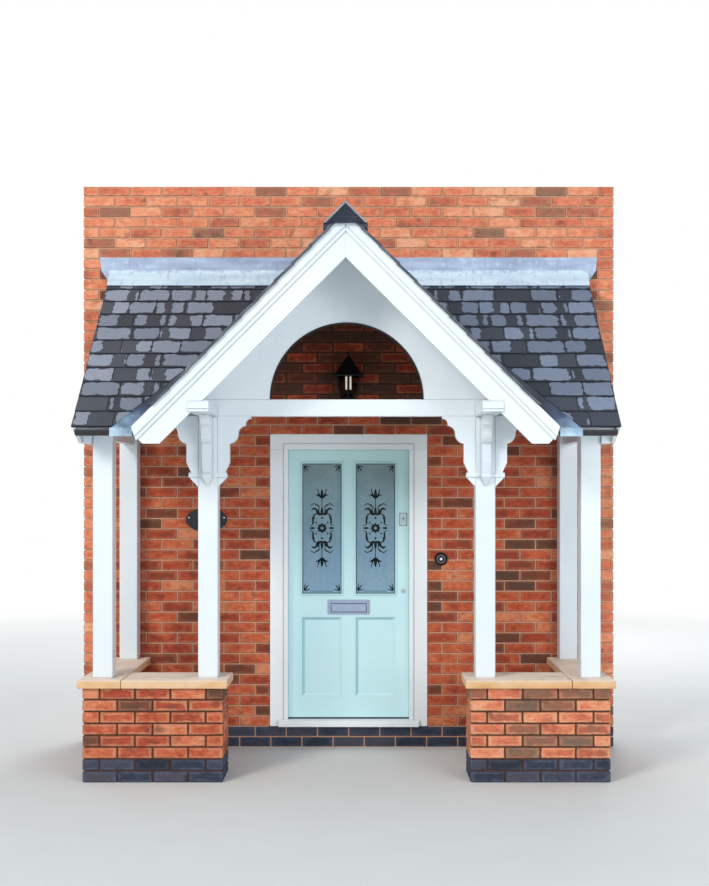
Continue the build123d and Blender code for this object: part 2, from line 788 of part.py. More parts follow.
with BuildPart() as door_head:
    with BuildSketch(front_plane(0)):
        rectangle_between(-doorway_half_width, head_bottom_z, doorway_half_width, doorway_top)
    extrude(amount=-frame_depth)
    with BuildSketch(front_plane(stop_depth)):
        rectangle_between(
            -pocket_half_width, head_bottom_z, pocket_half_width, leaf_top_z + door_gap)
    extrude(amount=stop_depth - frame_depth, mode=Mode.SUBTRACT)
    with BuildSketch(front_plane(0)):
        rectangle_between(-groove_outer_x, groove_z, groove_outer_x, groove_z + frame_groove_width)
        for side in (-1, 1):
            low, high = sorted((side * groove_x, side * groove_outer_x))
            rectangle_between(low, head_bottom_z, high, groove_z)
    extrude(amount=-frame_groove_depth, mode=Mode.SUBTRACT)

with BuildPart() as door_threshold:
    with BuildSketch(Plane.XY.offset(paving)):
        rectangle_between(-stop_half_width, 0, stop_half_width, frame_depth)
        rectangle_between(-threshold_half_width, -threshold_nosing, threshold_half_width, 0)
    extrude(amount=threshold_height)
    nosing_edge = door_threshold.edges().filter_by(Axis.X).sort_by(Axis.Y)[:2].sort_by(Axis.Z)[-1]
    chamfer(nosing_edge, threshold_nosing_ease)


def leaf_openings(bottom_z, top_z, margin=0, mode=Mode.ADD):
    """A pair of panes or panels side by side in the leaf, widened by a margin."""
    for side in (-1, 1):
        low, high = sorted((side * pane_inner_x, side * pane_outer_x))
        rectangle_between(low - margin, bottom_z - margin, high + margin, top_z + margin, mode=mode)


# Door leaf with two panes, two moulded panels and a letter slot
slot_half_width = flap_width / 2 + flap_gap
slot_half_height = flap_height / 2 + flap_gap
with BuildPart() as door_leaf:
    with BuildSketch(front_plane(leaf_front_y)):
        rectangle_between(-leaf_half_width, leaf_bottom_z, leaf_half_width, leaf_top_z)
        leaf_openings(pane_bottom_z, pane_top_z, mode=Mode.SUBTRACT)
        rectangle_between(
            -slot_half_width, flap_z - slot_half_height, slot_half_width, flap_z + slot_half_height,
            mode=Mode.SUBTRACT)
    extrude(amount=-leaf_thickness)
    for face_y, inward in ((leaf_front_y, 1), (leaf_back_y, -1)):
        with BuildSketch(front_plane(face_y)):
            leaf_openings(panel_bottom_z, panel_top_z)
        extrude(amount=-inward * panel_quirk, mode=Mode.SUBTRACT)
        with BuildSketch(front_plane(face_y + inward * panel_quirk)):
            leaf_openings(panel_bottom_z, panel_top_z)
        extrude(
            amount=-inward * (panel_recess - panel_quirk), taper=panel_moulding_angle, mode=Mode.SUBTRACT)
        with BuildSketch(front_plane(face_y)):
            leaf_openings(pane_bottom_z, pane_top_z, margin=bead_width)
            leaf_openings(pane_bottom_z, pane_top_z, mode=Mode.SUBTRACT)
        extrude(amount=inward * bead_proud)

glass_y = (leaf_front_y + leaf_back_y - glass_thickness) / 2
with BuildPart() as door_glass:
    with BuildSketch(front_plane(glass_y)):
        leaf_openings(pane_bottom_z, pane_top_z)
    extrude(amount=-glass_thickness)

# Letter plate with a raised rim, and its flap, which swings inward on two pins
flap_axis_y = leaf_front_y - letter_rim_proud / 2
flap_axis_z = flap_z + flap_height / 2 - flap_axis_drop
with BuildPart() as letter_plate:
    with BuildSketch(front_plane(leaf_front_y)):
        with Locations((0, letter_plate_z)):
            RectangleRounded(letter_plate_width, letter_plate_depth, letter_plate_corner)
    extrude(amount=letter_plate_thickness)
    with BuildSketch(front_plane(leaf_front_y)):
        with Locations((0, flap_z)):
            RectangleRounded(
                2 * (slot_half_width + letter_rim_width), 2 * (slot_half_height + letter_rim_width),
                letter_rim_corner)
    extrude(amount=letter_rim_proud)
    with BuildSketch(front_plane(leaf_front_y)):
        with Locations((0, flap_z)):
            Rectangle(2 * slot_half_width, 2 * slot_half_height)
    extrude(amount=letter_rim_proud, mode=Mode.SUBTRACT)
    with BuildSketch(Plane.YZ):
        with Locations((flap_axis_y, flap_axis_z)):
            Circle(flap_pin_radius + flap_pin_play)
    extrude(amount=flap_width / 2 + flap_pin_reach + flap_pin_end_play, both=True, mode=Mode.SUBTRACT)

with BuildPart() as letter_flap:
    with BuildSketch(front_plane(flap_axis_y + flap_thickness / 2)):
        with Locations((0, flap_z)):
            Rectangle(flap_width, flap_height)
    extrude(amount=flap_thickness)
    with BuildSketch(Plane.YZ):
        with Locations((flap_axis_y, flap_axis_z)):
            Circle(flap_pin_radius)
    extrude(amount=flap_width / 2 + flap_pin_reach, both=True)

# Latch plate with its cylinder and keyway, and the lower keyhole cover
with BuildPart() as door_furniture:
    with BuildSketch(front_plane(leaf_front_y)):
        with Locations((lock_x, lock_z)):
            RectangleRounded(lock_width, lock_depth, lock_corner)
    extrude(amount=lock_thickness)
    with BuildSketch(front_plane(leaf_front_y - lock_thickness)):
        with Locations((lock_x, lock_z)):
            Circle(cylinder_radius)
    extrude(amount=cylinder_proud)
    with BuildSketch(front_plane(leaf_front_y - lock_thickness - cylinder_proud)):
        with Locations((lock_x, lock_z)):
            Rectangle(keyway_width, keyway_length)
    extrude(amount=-keyway_depth, mode=Mode.SUBTRACT)
    with BuildSketch(front_plane(leaf_front_y)):
        with Locations((lock_x, keyhole_z)):
            Circle(keyhole_cover_radius)
    extrude(amount=keyhole_cover_thickness)
    with BuildSketch(front_plane(leaf_front_y - keyhole_cover_thickness)):
        with Locations((lock_x, keyhole_z)):
            Rectangle(keyhole_width, keyhole_length)
    extrude(amount=-keyhole_depth, mode=Mode.SUBTRACT)

# Hinges: outer knuckles and pin on the frame, middle knuckle on the leaf
hinge_low_z = leaf_bottom_z + hinge_foot_margin
hinge_high_z = leaf_top_z - hinge_head_margin - hinge_length
hinge_feet = (hinge_low_z, (hinge_low_z + hinge_high_z) / 2, hinge_high_z)
knuckle = hinge_length / 3
frame_tab_x = hinge_axis_x - hinge_tab
leaf_tab_x = hinge_axis_x + hinge_tab
leaf_web_y = leaf_back_y + hinge_leaf_rise
with BuildPart() as frame_hinges:
    for z in hinge_feet:
        with BuildSketch(Plane.XY.offset(z)):
            rectangle_between(
                frame_tab_x - hinge_plate_width, frame_depth, frame_tab_x, frame_depth + hinge_plate)
        extrude(amount=hinge_length)
        for low in (z, z + 2 * knuckle):
            with BuildSketch(Plane.XY.offset(low)):
                rectangle_between(frame_tab_x, frame_depth, hinge_axis_x, frame_depth + hinge_plate)
                with Locations((hinge_axis_x, hinge_axis_y)):
                    Circle(hinge_radius)
            extrude(amount=knuckle)
        with BuildSketch(Plane.XY.offset(z)):
            with Locations((hinge_axis_x, hinge_axis_y)):
                Circle(hinge_pin_radius)
        extrude(amount=hinge_length)

with BuildPart() as leaf_hinges:
    for z in hinge_feet:
        middle_low = z + knuckle + hinge_play
        middle_high = z + 2 * knuckle - hinge_play
        with BuildSketch(Plane.XY.offset(z)):
            rectangle_between(
                leaf_tab_x, leaf_back_y, leaf_tab_x + hinge_plate_width, leaf_back_y + hinge_plate)
        extrude(amount=hinge_length)
        with BuildSketch(Plane.XY.offset(middle_low)):
            rectangle_between(
                hinge_axis_x + hinge_face_gap, leaf_web_y, leaf_tab_x, leaf_web_y + hinge_leaf_web)
            with Locations((hinge_axis_x, hinge_axis_y)):
                Circle(hinge_radius)
        extrude(amount=middle_high - middle_low)
        with BuildSketch(Plane.XY.offset(middle_low)):
            with Locations((hinge_axis_x, hinge_axis_y)):
                Circle(hinge_pin_radius + hinge_play)
        extrude(amount=middle_high - middle_low, mode=Mode.SUBTRACT)


def lantern_block(foot_z, foot_side, head_z, head_side):
    """Square block on the lantern's upright axis, tapered between its foot and its head."""
    with BuildPart() as block:
        for view, centre, mode in ((Plane.XZ, 0, Mode.ADD), (Plane.YZ, lantern_y, Mode.INTERSECT)):
            with BuildSketch(view):
                Polygon(
                    (centre - foot_side / 2, foot_z), (centre + foot_side / 2, foot_z),
                    (centre + head_side / 2, head_z), (centre - head_side / 2, head_z), align=None)
            extrude(amount=lantern_brim - lantern_y, both=True, mode=mode)
    return block


# Wall lantern: a tapered cage of bars under a pyramid roof, on a curved arm from the wall
lantern_roof_z = lantern_brim_z + lantern_brim_thickness
lantern_finial_z = lantern_roof_z + lantern_roof_rise
lantern_cage_foot = lantern_glass_bottom + 2 * lantern_bar
lantern_cage_head = lantern_glass_top + 2 * lantern_bar
lantern_cage = lantern_block(lantern_glass_bottom_z, lantern_cage_foot, lantern_brim_z, lantern_cage_head)
lantern_hollow = lantern_block(
    lantern_glass_bottom_z, lantern_glass_bottom, lantern_brim_z, lantern_glass_top)
lantern_roof = lantern_block(lantern_roof_z, lantern_roof_foot, lantern_finial_z, lantern_roof_head)
lantern_tray = lantern_block(lantern_base_z, lantern_base_foot, lantern_glass_bottom_z, lantern_cage_foot)
with BuildPart() as lantern:
    add(lantern_cage.part)
    add(lantern_hollow.part, mode=Mode.SUBTRACT)
    for view, centre in ((Plane.XZ, 0), (Plane.YZ, lantern_y)):
        with BuildSketch(view.offset(-lantern_brim)):
            for side in (-1, 1):
                Polygon(
                    (centre + side * lantern_middle_bar / 2, lantern_glass_bottom_z),
                    (centre + side * lantern_glass_bottom / 2, lantern_glass_bottom_z),
                    (centre + side * lantern_glass_top / 2, lantern_brim_z),
                    (centre + side * lantern_middle_bar / 2, lantern_brim_z), align=None)
        extrude(amount=2 * lantern_brim - lantern_y, mode=Mode.SUBTRACT)
    with BuildSketch(Plane.XY.offset(lantern_brim_z)):
        with Locations((0, lantern_y)):
            Rectangle(lantern_brim, lantern_brim)
    extrude(amount=lantern_brim_thickness)
    chamfer(lantern.edges().group_by(Axis.Z)[-1], lantern_brim_ease)
    add(lantern_roof.part)
    with BuildSketch(Plane.XZ.offset(-lantern_y)):
        Polygon(
            (0, lantern_finial_z), (lantern_neck_radius, lantern_finial_z),
            (lantern_neck_radius, lantern_finial_z + lantern_neck_height),
            (lantern_finial_radius, lantern_finial_z + lantern_finial_height / 2),
            (0, lantern_finial_z + lantern_finial_height), align=None)
    revolve(axis=Axis((0, lantern_y, 0), (0, 0, 1)))
    add(lantern_tray.part)
    with BuildSketch(front_plane(0)):
        with Locations((0, lantern_base_z)):
            RectangleRounded(lantern_plate_width, lantern_plate_length, lantern_plate_corner)
    extrude(amount=lantern_plate_thickness)
    with BuildLine():
        arm_z = lantern_base_z - lantern_arm_drop
        bend_y = lantern_y + lantern_arm_drop
        Line((0, -lantern_plate_thickness, arm_z), (0, bend_y, arm_z))
        ThreePointArc(
            (0, bend_y, arm_z),
            (0, bend_y - lantern_arm_drop / sqrt(2), lantern_base_z - lantern_arm_drop / sqrt(2)),
            (0, lantern_y, lantern_base_z))
    with BuildSketch(front_plane(-lantern_plate_thickness)):
        with Locations((0, arm_z)):
            Circle(lantern_arm_radius)
    sweep()

lantern_glass_inside = lantern_block(
    lantern_glass_bottom_z, lantern_glass_bottom - 2 * lantern_pane,
    lantern_brim_z, lantern_glass_top - 2 * lantern_pane)
with BuildPart() as lantern_glass:
    add(lantern_hollow.part)
    add(lantern_glass_inside.part, mode=Mode.SUBTRACT)

# Name plaque, and a bell push turned to a rim, a dish and a boss round its button
with BuildPart() as name_plaque:
    with BuildSketch(front_plane(0)):
        with Locations((plaque_x, plaque_z)):
            Ellipse(plaque_width / 2, plaque_height / 2)
    extrude(amount=plaque_thickness)
    chamfer(name_plaque.faces().sort_by(Axis.Y)[0].edges(), plaque_ease)

with BuildPart() as bell_push:
    with BuildSketch(Plane.XY.offset(bell_z)):
        Polygon(
            (bell_x, 0), (bell_x + bell_radius, 0), (bell_x + bell_radius, -bell_dish),
            (bell_x + bell_radius - bell_rim, -bell_rim_proud),
            (bell_x + bell_radius - 2 * bell_rim, -bell_dish), (bell_x + bell_boss_radius, -bell_dish),
            (bell_x + bell_boss_radius, -bell_boss_proud), (bell_x + button_radius, -bell_boss_proud),
            (bell_x + button_radius, -button_proud), (bell_x, -button_proud), align=None)
    revolve(axis=Axis((bell_x, 0, bell_z), (0, 1, 0)))

pieces = {
    "wall_left": wall_left, "wall_right": wall_right, "wall_over_door": wall_over_door,
    "wall_under_door": wall_under_door,
    "dwarf_wall_left": dwarf_wall_left, "dwarf_wall_right": dwarf_wall_right,
    "coping_left": coping_left, "coping_right": coping_right,
    "inner_post_left": inner_post_left, "inner_post_right": inner_post_right,
    "outer_post_left": outer_post_left, "outer_post_right": outer_post_right,
    "wall_post_left": wall_post_left, "wall_post_right": wall_post_right,
    "corbels_left": corbels_left, "corbels_right": corbels_right,
    "tie_beam": tie_beam, "arch_panel": arch_panel, "front_arms": front_arms,
    "barge_board_left": barge_board_left, "barge_board_right": barge_board_right,
    "barge_moulding_left": barge_moulding_left, "barge_moulding_right": barge_moulding_right,
    "eaves_beams": eaves_beams, "side_beams": side_beams,
    "verge_boards": verge_boards, "eaves_boxes": eaves_boxes,
    "gable_deck_left": gable_deck_left, "gable_deck_right": gable_deck_right,
    "lean_to_deck_left": lean_to_deck_left, "lean_to_deck_right": lean_to_deck_right,
    "gable_slates_left": gable_slates_left, "gable_slates_right": gable_slates_right,
    "lean_to_slates_left": lean_to_slates_left, "lean_to_slates_right": lean_to_slates_right,
    "ridge_tiles": ridge_tiles, "ridge_cap": ridge_cap,
    "valley_lead_left": valley_lead_left, "valley_lead_right": valley_lead_right,
    "flashing": flashing, "gutters": gutters,
    "door_jamb_left": door_jamb_left, "door_jamb_right": door_jamb_right,
    "door_head": door_head, "door_threshold": door_threshold,
    "door_leaf": door_leaf, "door_glass": door_glass,
    "letter_plate": letter_plate, "letter_flap": letter_flap,
    "door_furniture": door_furniture, "frame_hinges": frame_hinges, "leaf_hinges": leaf_hinges,
    "lantern": lantern, "lantern_glass": lantern_glass,
    "name_plaque": name_plaque, "bell_push": bell_push,
}

os.makedirs("parts", exist_ok=True)
for name, piece in pieces.items():
    piece.part.label = name
    export_step(piece.part, f"parts/{name}.step")
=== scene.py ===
import json
import math
import random

import bmesh
import bpy
import numpy as np
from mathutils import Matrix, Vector, noise

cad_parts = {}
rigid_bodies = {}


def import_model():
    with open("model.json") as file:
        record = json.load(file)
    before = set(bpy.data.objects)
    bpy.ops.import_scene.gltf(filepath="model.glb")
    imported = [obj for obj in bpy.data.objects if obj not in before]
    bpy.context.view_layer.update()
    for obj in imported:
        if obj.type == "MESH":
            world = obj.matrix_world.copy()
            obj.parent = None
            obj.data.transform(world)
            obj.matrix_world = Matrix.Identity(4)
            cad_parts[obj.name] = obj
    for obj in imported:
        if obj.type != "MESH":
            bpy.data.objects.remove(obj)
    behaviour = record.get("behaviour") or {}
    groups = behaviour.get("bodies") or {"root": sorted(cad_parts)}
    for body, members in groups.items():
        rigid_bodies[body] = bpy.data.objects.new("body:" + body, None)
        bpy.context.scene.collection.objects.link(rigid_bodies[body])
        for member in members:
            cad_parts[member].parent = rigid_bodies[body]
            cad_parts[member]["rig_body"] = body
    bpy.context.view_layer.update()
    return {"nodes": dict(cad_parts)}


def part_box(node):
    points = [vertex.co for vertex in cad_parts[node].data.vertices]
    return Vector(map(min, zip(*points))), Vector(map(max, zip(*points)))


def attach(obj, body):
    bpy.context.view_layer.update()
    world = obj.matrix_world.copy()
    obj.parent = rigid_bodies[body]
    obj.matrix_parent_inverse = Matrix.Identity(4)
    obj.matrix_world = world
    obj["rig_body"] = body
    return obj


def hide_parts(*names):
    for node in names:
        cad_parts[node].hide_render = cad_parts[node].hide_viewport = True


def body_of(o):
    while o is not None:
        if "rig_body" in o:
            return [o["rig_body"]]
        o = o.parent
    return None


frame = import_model()

# Camera fitted to the photograph: a level view with its horizon below the middle
IMAGE_WIDTH, IMAGE_HEIGHT = 709, 886
FOCAL_PIXELS = 1278
VANISHING_X, VANISHING_Y = 364, 490
CAMERA_PLACE = (0.111, -9.23, 1.856)
SENSOR = 36.0

# Light: each lamp's place, size, power and tone, then the sky and how the floor fades to white
LAMPS = {
    "key": ((-7.0, -11.0, 8.2), 3.6, 860, (1.0, 0.96, 0.90)),
    "fill": ((6.0, -10.0, 3.2), 4.5, 365, (0.94, 0.97, 1.0)),
    "back": ((2.0, 8.0, 5.5), 5.0, 420, (1.0, 1.0, 1.0))}
LAMP_AIM = Vector((0, 0, 1.7))
SKY_COLOUR, SKY_STRENGTH = (0.70, 0.85, 0.97, 1.0), 0.6
WHITE = (1.0, 1.0, 1.0, 1.0)
FLOOR_FADES = (3.5, 11.0)

# Brickwork, in metres
BRICK_LENGTH = 0.215
BRICK_WIDTH = 0.1025
BRICK_HEIGHT = 0.065
JOINT = 0.010
COURSE = BRICK_HEIGHT + JOINT
PITCH = BRICK_LENGTH + JOINT
CLOSER = 0.075
BASE_COURSES = 2
SMALLEST_CUT = 0.03
WALL_RECESS = 0.006
DWARF_RECESS = 0.008
WALL_HALO = (0.35, 0.0, 0.0)
DWARF_HALO = (0.75, 0.0, 0.0)
DWARF_FRONT_WIDTH = 0.328
STEP_COURSE = 41
STEP_PROUD = 0.005

# Slating
SLATE_GAUGE = 0.150
SLATE_THICKNESS = 0.006
SLATE_WIDTHS = (0.185, 0.262)
SLATE_GAP = 0.005
SLATE_LAP = 0.015
SLATE_LENGTH = 2 * SLATE_GAUGE + SLATE_LAP
SLATE_BED = 0.014
SLATE_RAGGED = 0.002
SLATE_CHIPPED = 0.006
SLATE_UNEVEN = 0.0005
SLATE_WAVE = 0.07
SLATE_CLEARANCE = 0.0003
EAVES_INSET = 0.004
JOINT_LAP = 0.05
SIDE_CLEAR = 0.02
SMALLEST_SLATE = 0.09
PATCH_FOOT, PATCH_TOP, PATCH_CORNER = 0.014, 0.144, 0.022

# Sheet lead, cut into a grid with this step
LEAD_STEP = 0.045

# Round-headed opening and the dark strip of painted shade round it
ARCH_RADIUS = 0.492
ARCH_STEPS = 72
SHADE_STRIP_WIDTH = 0.007
SHADE_STRIP_LAP = 0.002
SHADE_STRIP_PROUD = 0.003

# Joinery. A planted piece is let into what carries it by SEAT
CREASE_REACH = 0.014
BOARD_WIDTH = 0.1
SEAT = 0.001
FRONT_CORBEL_HALF = 0.029
EAR_REACH = 0.060
NECKING_RISE = 0.063
NECKING_HEIGHT = 0.028
NECKING_FILLET = 0.013
NECKING_PROUD = 0.007
FILLET_HEIGHT = 0.0135
FILLET_PROUD = 0.008
PLATE_FOOT = 0.017
PLATE_DROP = 0.010
RIM_WIDTH = 0.011
RIM_PROUD = 0.003

# Panes
PANE_MIDDLE_X = 0.1945
PANE_MIDDLE_RISE = 0.626
PANE_PROUD = 0.0003
PANE_SINK = 0.0008
GASKET_WIDTH = 0.006
GASKET_PROUD = 0.0012

# Small fittings. A turned profile has pairs of radius and distance
LAMP_SPREAD = 0.015
LAMP_TUBE = ((0.0065, 0), (0.0065, 0.0865), (0.0052, 0.0915), (0.00195, 0.093))
SCREW_INSET = 0.022
SCREW_RISE = 0.016
SCREW = ((0.0065, 0), (0.0065, 0.002), (0.005, 0.0036), (0.002, 0.0044))
BELL_BUTTON = ((0.0098, -SEAT), (0.0098, 0.0004), (0.0075, 0.0016), (0.003, 0.0021))
BELL_DISH = 0.0128
BELL_RING = ((0.0288, 0), (0.031, 0), (0.031, 0.001), (0.0288, 0.001))
LEAF_MOULDING = 0.006
LOCK_HEIGHT = 0.087
LOCK_GASKET = 0.0025
LOCK_BUTTON = ((0.0055, -SEAT), (0.0055, 0.002), (0.004, 0.003))
LOCK_BUTTON_RISE = 0.006
LIP_INSET = 0.008
LIP_GAP = 0.0008
LIP_THICKNESS = 0.0016
LIP_STAND_OFF = 0.0055
HOLDER_WIDTH = 0.014
HOLDER_LAP = 0.0002
HOLDER_PROUD = 0.0004
STRIP_FOOT, STRIP_TOP = -0.0005, 0.0045
STRIP_FRONT, STRIP_BACK = 0.001, 0.004


def srgb(red, green, blue):
    """A colour given in 0 to 255 as it looks, for a shader socket."""
    def linear(value):
        value /= 255
        return value / 12.92 if value <= 0.04045 else ((value + 0.055) / 1.055) ** 2.4
    return linear(red), linear(green), linear(blue), 1.0


class Field:
    """What a node gives out: a number, a colour or a place that varies over the surface."""

    def __init__(self, nodes, socket):
        self.nodes, self.socket = nodes, socket

    def math(self, operation, other=0.0, clamp=False):
        return self.nodes.field("Math", {0: self, 1: other}, operation=operation, use_clamp=clamp)

    def __add__(self, other):
        return self.math("ADD", other)

    def __sub__(self, other):
        return self.math("SUBTRACT", other)

    def __mul__(self, other):
        return self.math("MULTIPLY", other)

    def __abs__(self):
        return self.math("ABSOLUTE")

    def larger(self, other):
        return self.math("MAXIMUM", other)

    def range(self, low, high, to_low=0.0, to_high=1.0):
        """The number moved from one range to another, and held there."""
        return self.nodes.field("MapRange", {
            "Value": self, "From Min": low, "From Max": high, "To Min": to_low, "To Max": to_high})

    def tinge(self, tone, number, low, high, share):
        """The colour with up to a share of a tone mixed in, as a number goes from low to high."""
        return self.nodes.mix(number.range(low, high, 0.0, share), self, tone)


class Nodes:
    """A node tree and short ways to build it. A colour of three numbers is in 0 to 255, as it looks."""

    def __init__(self, tree):
        self.tree = tree

    def put(self, socket, value):
        if isinstance(value, Field):
            self.tree.links.new(value.socket, socket)
        else:
            as_it_looks = socket.type == "RGBA" and len(value) == 3
            socket.default_value = srgb(*value) if as_it_looks else value

    def node(self, kind, inputs=(), **settings):
        made = self.tree.nodes.new(f"ShaderNode{kind}")
        for key, value in settings.items():
            setattr(made, key, value)
        for key, value in dict(inputs).items():
            self.put(made.inputs[key], value)
        return made

    def field(self, kind, inputs=(), output=0, **settings):
        return Field(self, self.node(kind, inputs, **settings).outputs[output])

    def split(self, vector):
        return [Field(self, part) for part in self.node("SeparateXYZ", {"Vector": vector}).outputs]

    def attribute(self, name):
        """The numbers that the mesh carries under this name."""
        return self.split(self.field("Attribute", output="Vector", attribute_name=name))

    def where(self, stretch=(1, 1, 1)):
        """The place on the object, stretched along its axes."""
        return self.field("Mapping", {"Vector": self.field("TexCoord", output="Object"), "Scale": stretch})

    def upward(self):
        """How far the surface faces up."""
        return self.split(self.field("TexCoord", output="Normal"))[2]

    def noise(self, scale, detail=3, roughness=0.5, stretch=(1, 1, 1)):
        return self.field("TexNoise", {
            "Vector": self.where(stretch), "Scale": scale, "Detail": detail, "Roughness": roughness})

    def ramp(self, number, *stops):
        """A colour by a number, from (place, colour) pairs."""
        made = self.node("ValToRGB", {"Fac": number})
        steps = made.color_ramp.elements
        while len(steps) < len(stops):
            steps.new(0.5)
        for step, (place, colour) in zip(steps, stops):
            step.position, step.color = place, srgb(*colour)
        return Field(self, made.outputs["Color"])

    def mix(self, factor, first, second, blend="MIX"):
        return self.field("Mix", {0: factor, 6: first, 7: second}, 2, data_type="RGBA", blend_type=blend)

    def bump(self, height, depth, strength=1.0, below=None):
        inputs = {"Height": height, "Distance": depth, "Strength": strength}
        return self.field("Bump", {**inputs, "Normal": below} if below else inputs)


class Finish(Nodes):
    """One material, with what is the same all over it set on its own shader."""

    def __init__(self, name, **uniform):
        self.material = bpy.data.materials.new(name)
        self.material.use_nodes = True
        super().__init__(self.material.node_tree)
        self.shader = self.tree.nodes["Principled BSDF"]
        for label, value in uniform.items():
            self.put(self.shader.inputs[label.replace("_", " ").title().replace("Ior", "IOR")], value)

    def dress(self, colour, roughness, normal=None):
        self.put(self.shader.inputs["Base Color"], colour)
        self.put(self.shader.inputs["Roughness"], roughness)
        if normal:
            self.put(self.shader.inputs["Normal"], normal)
        return self.material


def brick_finish(name, lit_tones, shaded_tones, margins, arris):
    """Fired clay: a tone for each brick, flashes and pale margins, with painted shade on its arrises and
    painted shade that deepens it under the roof.
    """
    finish = Finish(name, specular_ior_level=0.2)
    tone, chance, painted_shade = finish.attribute("tint")
    halo = finish.attribute("second")[0] * tone.range(0.05, 0.3, 0.3, 1.0)
    mottle = finish.noise(24, 4, 0.6, (1, 1, 1.7))
    drag = finish.noise(13, 5, 0.7, (1, 1, 8))
    change = mottle.range(0.3, 0.7, -0.2, 0.2) + drag.range(0.3, 0.7, -0.13, 0.13)
    change = change + finish.noise(7, 2).range(0.35, 0.65, -0.15, 0.15)
    varied = tone.math("ADD", change * tone.range(0.1, 0.5, 0.4, 1.0), clamp=True)
    # Painted shade: bricks under the porch roof take the shaded copy of the tones
    colour = finish.mix(painted_shade, finish.ramp(varied, *lit_tones), finish.ramp(varied, *shaded_tones))
    across, up, _ = finish.attribute("place")
    aside, aloft = abs(across - 0.5), abs(up - 0.5)
    outward = aside.range(0.34, 0.46).larger(aloft.range(0.16, 0.42))
    cloudy = outward + finish.noise(18, 4).range(0.3, 0.7, -0.55, 0.45)
    # Pale margins, which take their darker second tone as painted shade under the roof
    colour = finish.mix(cloudy.range(0.4, 1.1) * halo, colour, finish.mix(painted_shade, *margins))
    burnt = finish.noise(11, 4).range(0.55, 0.7, 0.0, 0.7) * chance
    colour = finish.mix(burnt, colour, arris)
    # Painted shade: the arris colour darkens each brick towards its edges
    rim = aside.range(0.472, 0.5).larger(aloft.range(0.41, 0.5))
    colour = colour.tinge(arris, rim + finish.noise(40, 4).range(0.3, 0.7, -0.5, 0.4), 0.5, 1.2, 0.6)
    speck = finish.noise(420, 2)
    colour = colour.tinge((92, 58, 48), speck, 0.62, 0.74, 0.5)
    colour = colour.tinge((236, 196, 164), speck, 0.36, 0.26, 0.3)
    sand = finish.bump(finish.noise(700, 3), 0.0006, 0.6)
    creased = finish.bump(finish.noise(60, 5, 0.65), 0.0022, 0.8, sand)
    return finish.dress(colour, mottle.range(0.3, 0.7, 0.78, 0.94), finish.bump(drag, 0.003, 0.7, creased))


def mortar_finish(name, pale, dark, shade_covers=()):
    """Sandy mortar. Each cover is (half width, foot, top, colour) of a part of the front darkened with
    painted shade.
    """
    finish = Finish(name, specular_ior_level=0.15)
    colour = finish.mix(finish.noise(9, 4), pale, dark)
    across, inward, height = finish.split(finish.where())
    for half_width, foot, top, tone in shade_covers:
        inside = abs(across).range(half_width, half_width - 0.01) * inward.range(0.06, 0.05)
        inside = inside * height.range(foot - 0.01, foot) * height.range(top, top - 0.01)
        colour = finish.mix(inside * 0.9, colour, tone)
    colour = colour.tinge((146, 106, 84), finish.noise(520, 2), 0.55, 0.75, 0.6)
    return finish.dress(colour, 0.95, finish.bump(finish.noise(300, 4), 0.0015))


def outside_patch(across, up, middle, half_width):
    """How far a place on a slate lies outside a patch with round corners, less than zero inside."""
    beside = (abs(across - middle) - half_width + PATCH_CORNER).larger(0.0)
    half_height = (PATCH_TOP - PATCH_FOOT) / 2
    above = (abs(up - (PATCH_FOOT + half_height)) - (half_height - PATCH_CORNER)).larger(0.0)
    return (beside * beside + above * above).math("SQRT") - PATCH_CORNER


def slate_finish(name):
    """Riven slate: pale where it has dried, dark at its edges and under the joints above, with a painted
    shadow along its tail.
    """
    finish = Finish(name, specular_ior_level=0.22)
    across, up, _ = finish.attribute("place")
    first_middle, first_half, tone = finish.attribute("tint")
    second_middle, second_half, blue = finish.attribute("second")
    nearer = outside_patch(across, up, first_middle, first_half).math(
        "MINIMUM", outside_patch(across, up, second_middle, second_half))
    dry = (nearer + finish.noise(19, 1.5).range(0.28, 0.72, -0.012, 0.012)).range(0.0012, -0.0012)
    dark = finish.mix(tone, (58, 60, 66), (82, 84, 92))
    dark = dark.tinge((104, 102, 104), finish.noise(90, 5, 0.7), 0.5, 0.75, 0.5)
    pale = finish.mix(tone, (134, 138, 152), (162, 166, 180))
    pale = pale.tinge((122, 124, 134), finish.noise(60, 5), 0.45, 0.8, 0.5)
    colour = finish.mix(dry * 0.94, dark, pale)
    colour = colour.tinge((176, 180, 190), finish.noise(45, 3, stretch=(1, 1, 6)), 0.68, 0.76, 0.35)
    colour = finish.mix(blue * 0.5, colour, finish.mix(0.9, colour, (176, 206, 232), "MULTIPLY"))
    # Painted shadow: a dark band along each slate's tail for the shadow line under the course
    colour = colour.tinge((38, 42, 54), up, 0.0085, 0.006, 0.85)
    riven = finish.bump(finish.noise(28, 6, 0.6), 0.004, 0.7)
    riven = finish.bump(finish.noise(180, 4, stretch=(1, 3, 1)), 0.001, 0.6, riven)
    return finish.dress(colour, dry.range(0.0, 1.0, 0.6, 0.8), riven)


def ridge_finish(name, *tones):
    """Fired ridge tile or a slate's cut edge, from dark to pale, with a little lichen."""
    finish = Finish(name, specular_ior_level=0.25)
    colour = finish.ramp(finish.noise(9, 5, 0.6), *zip((0.3, 0.5, 0.7), tones))
    colour = colour.tinge((118, 122, 130), finish.noise(60, 4), 0.62, 0.78, 0.4)
    return finish.dress(colour, 0.75, finish.bump(finish.noise(80, 5, 0.65), 0.002, 0.7))


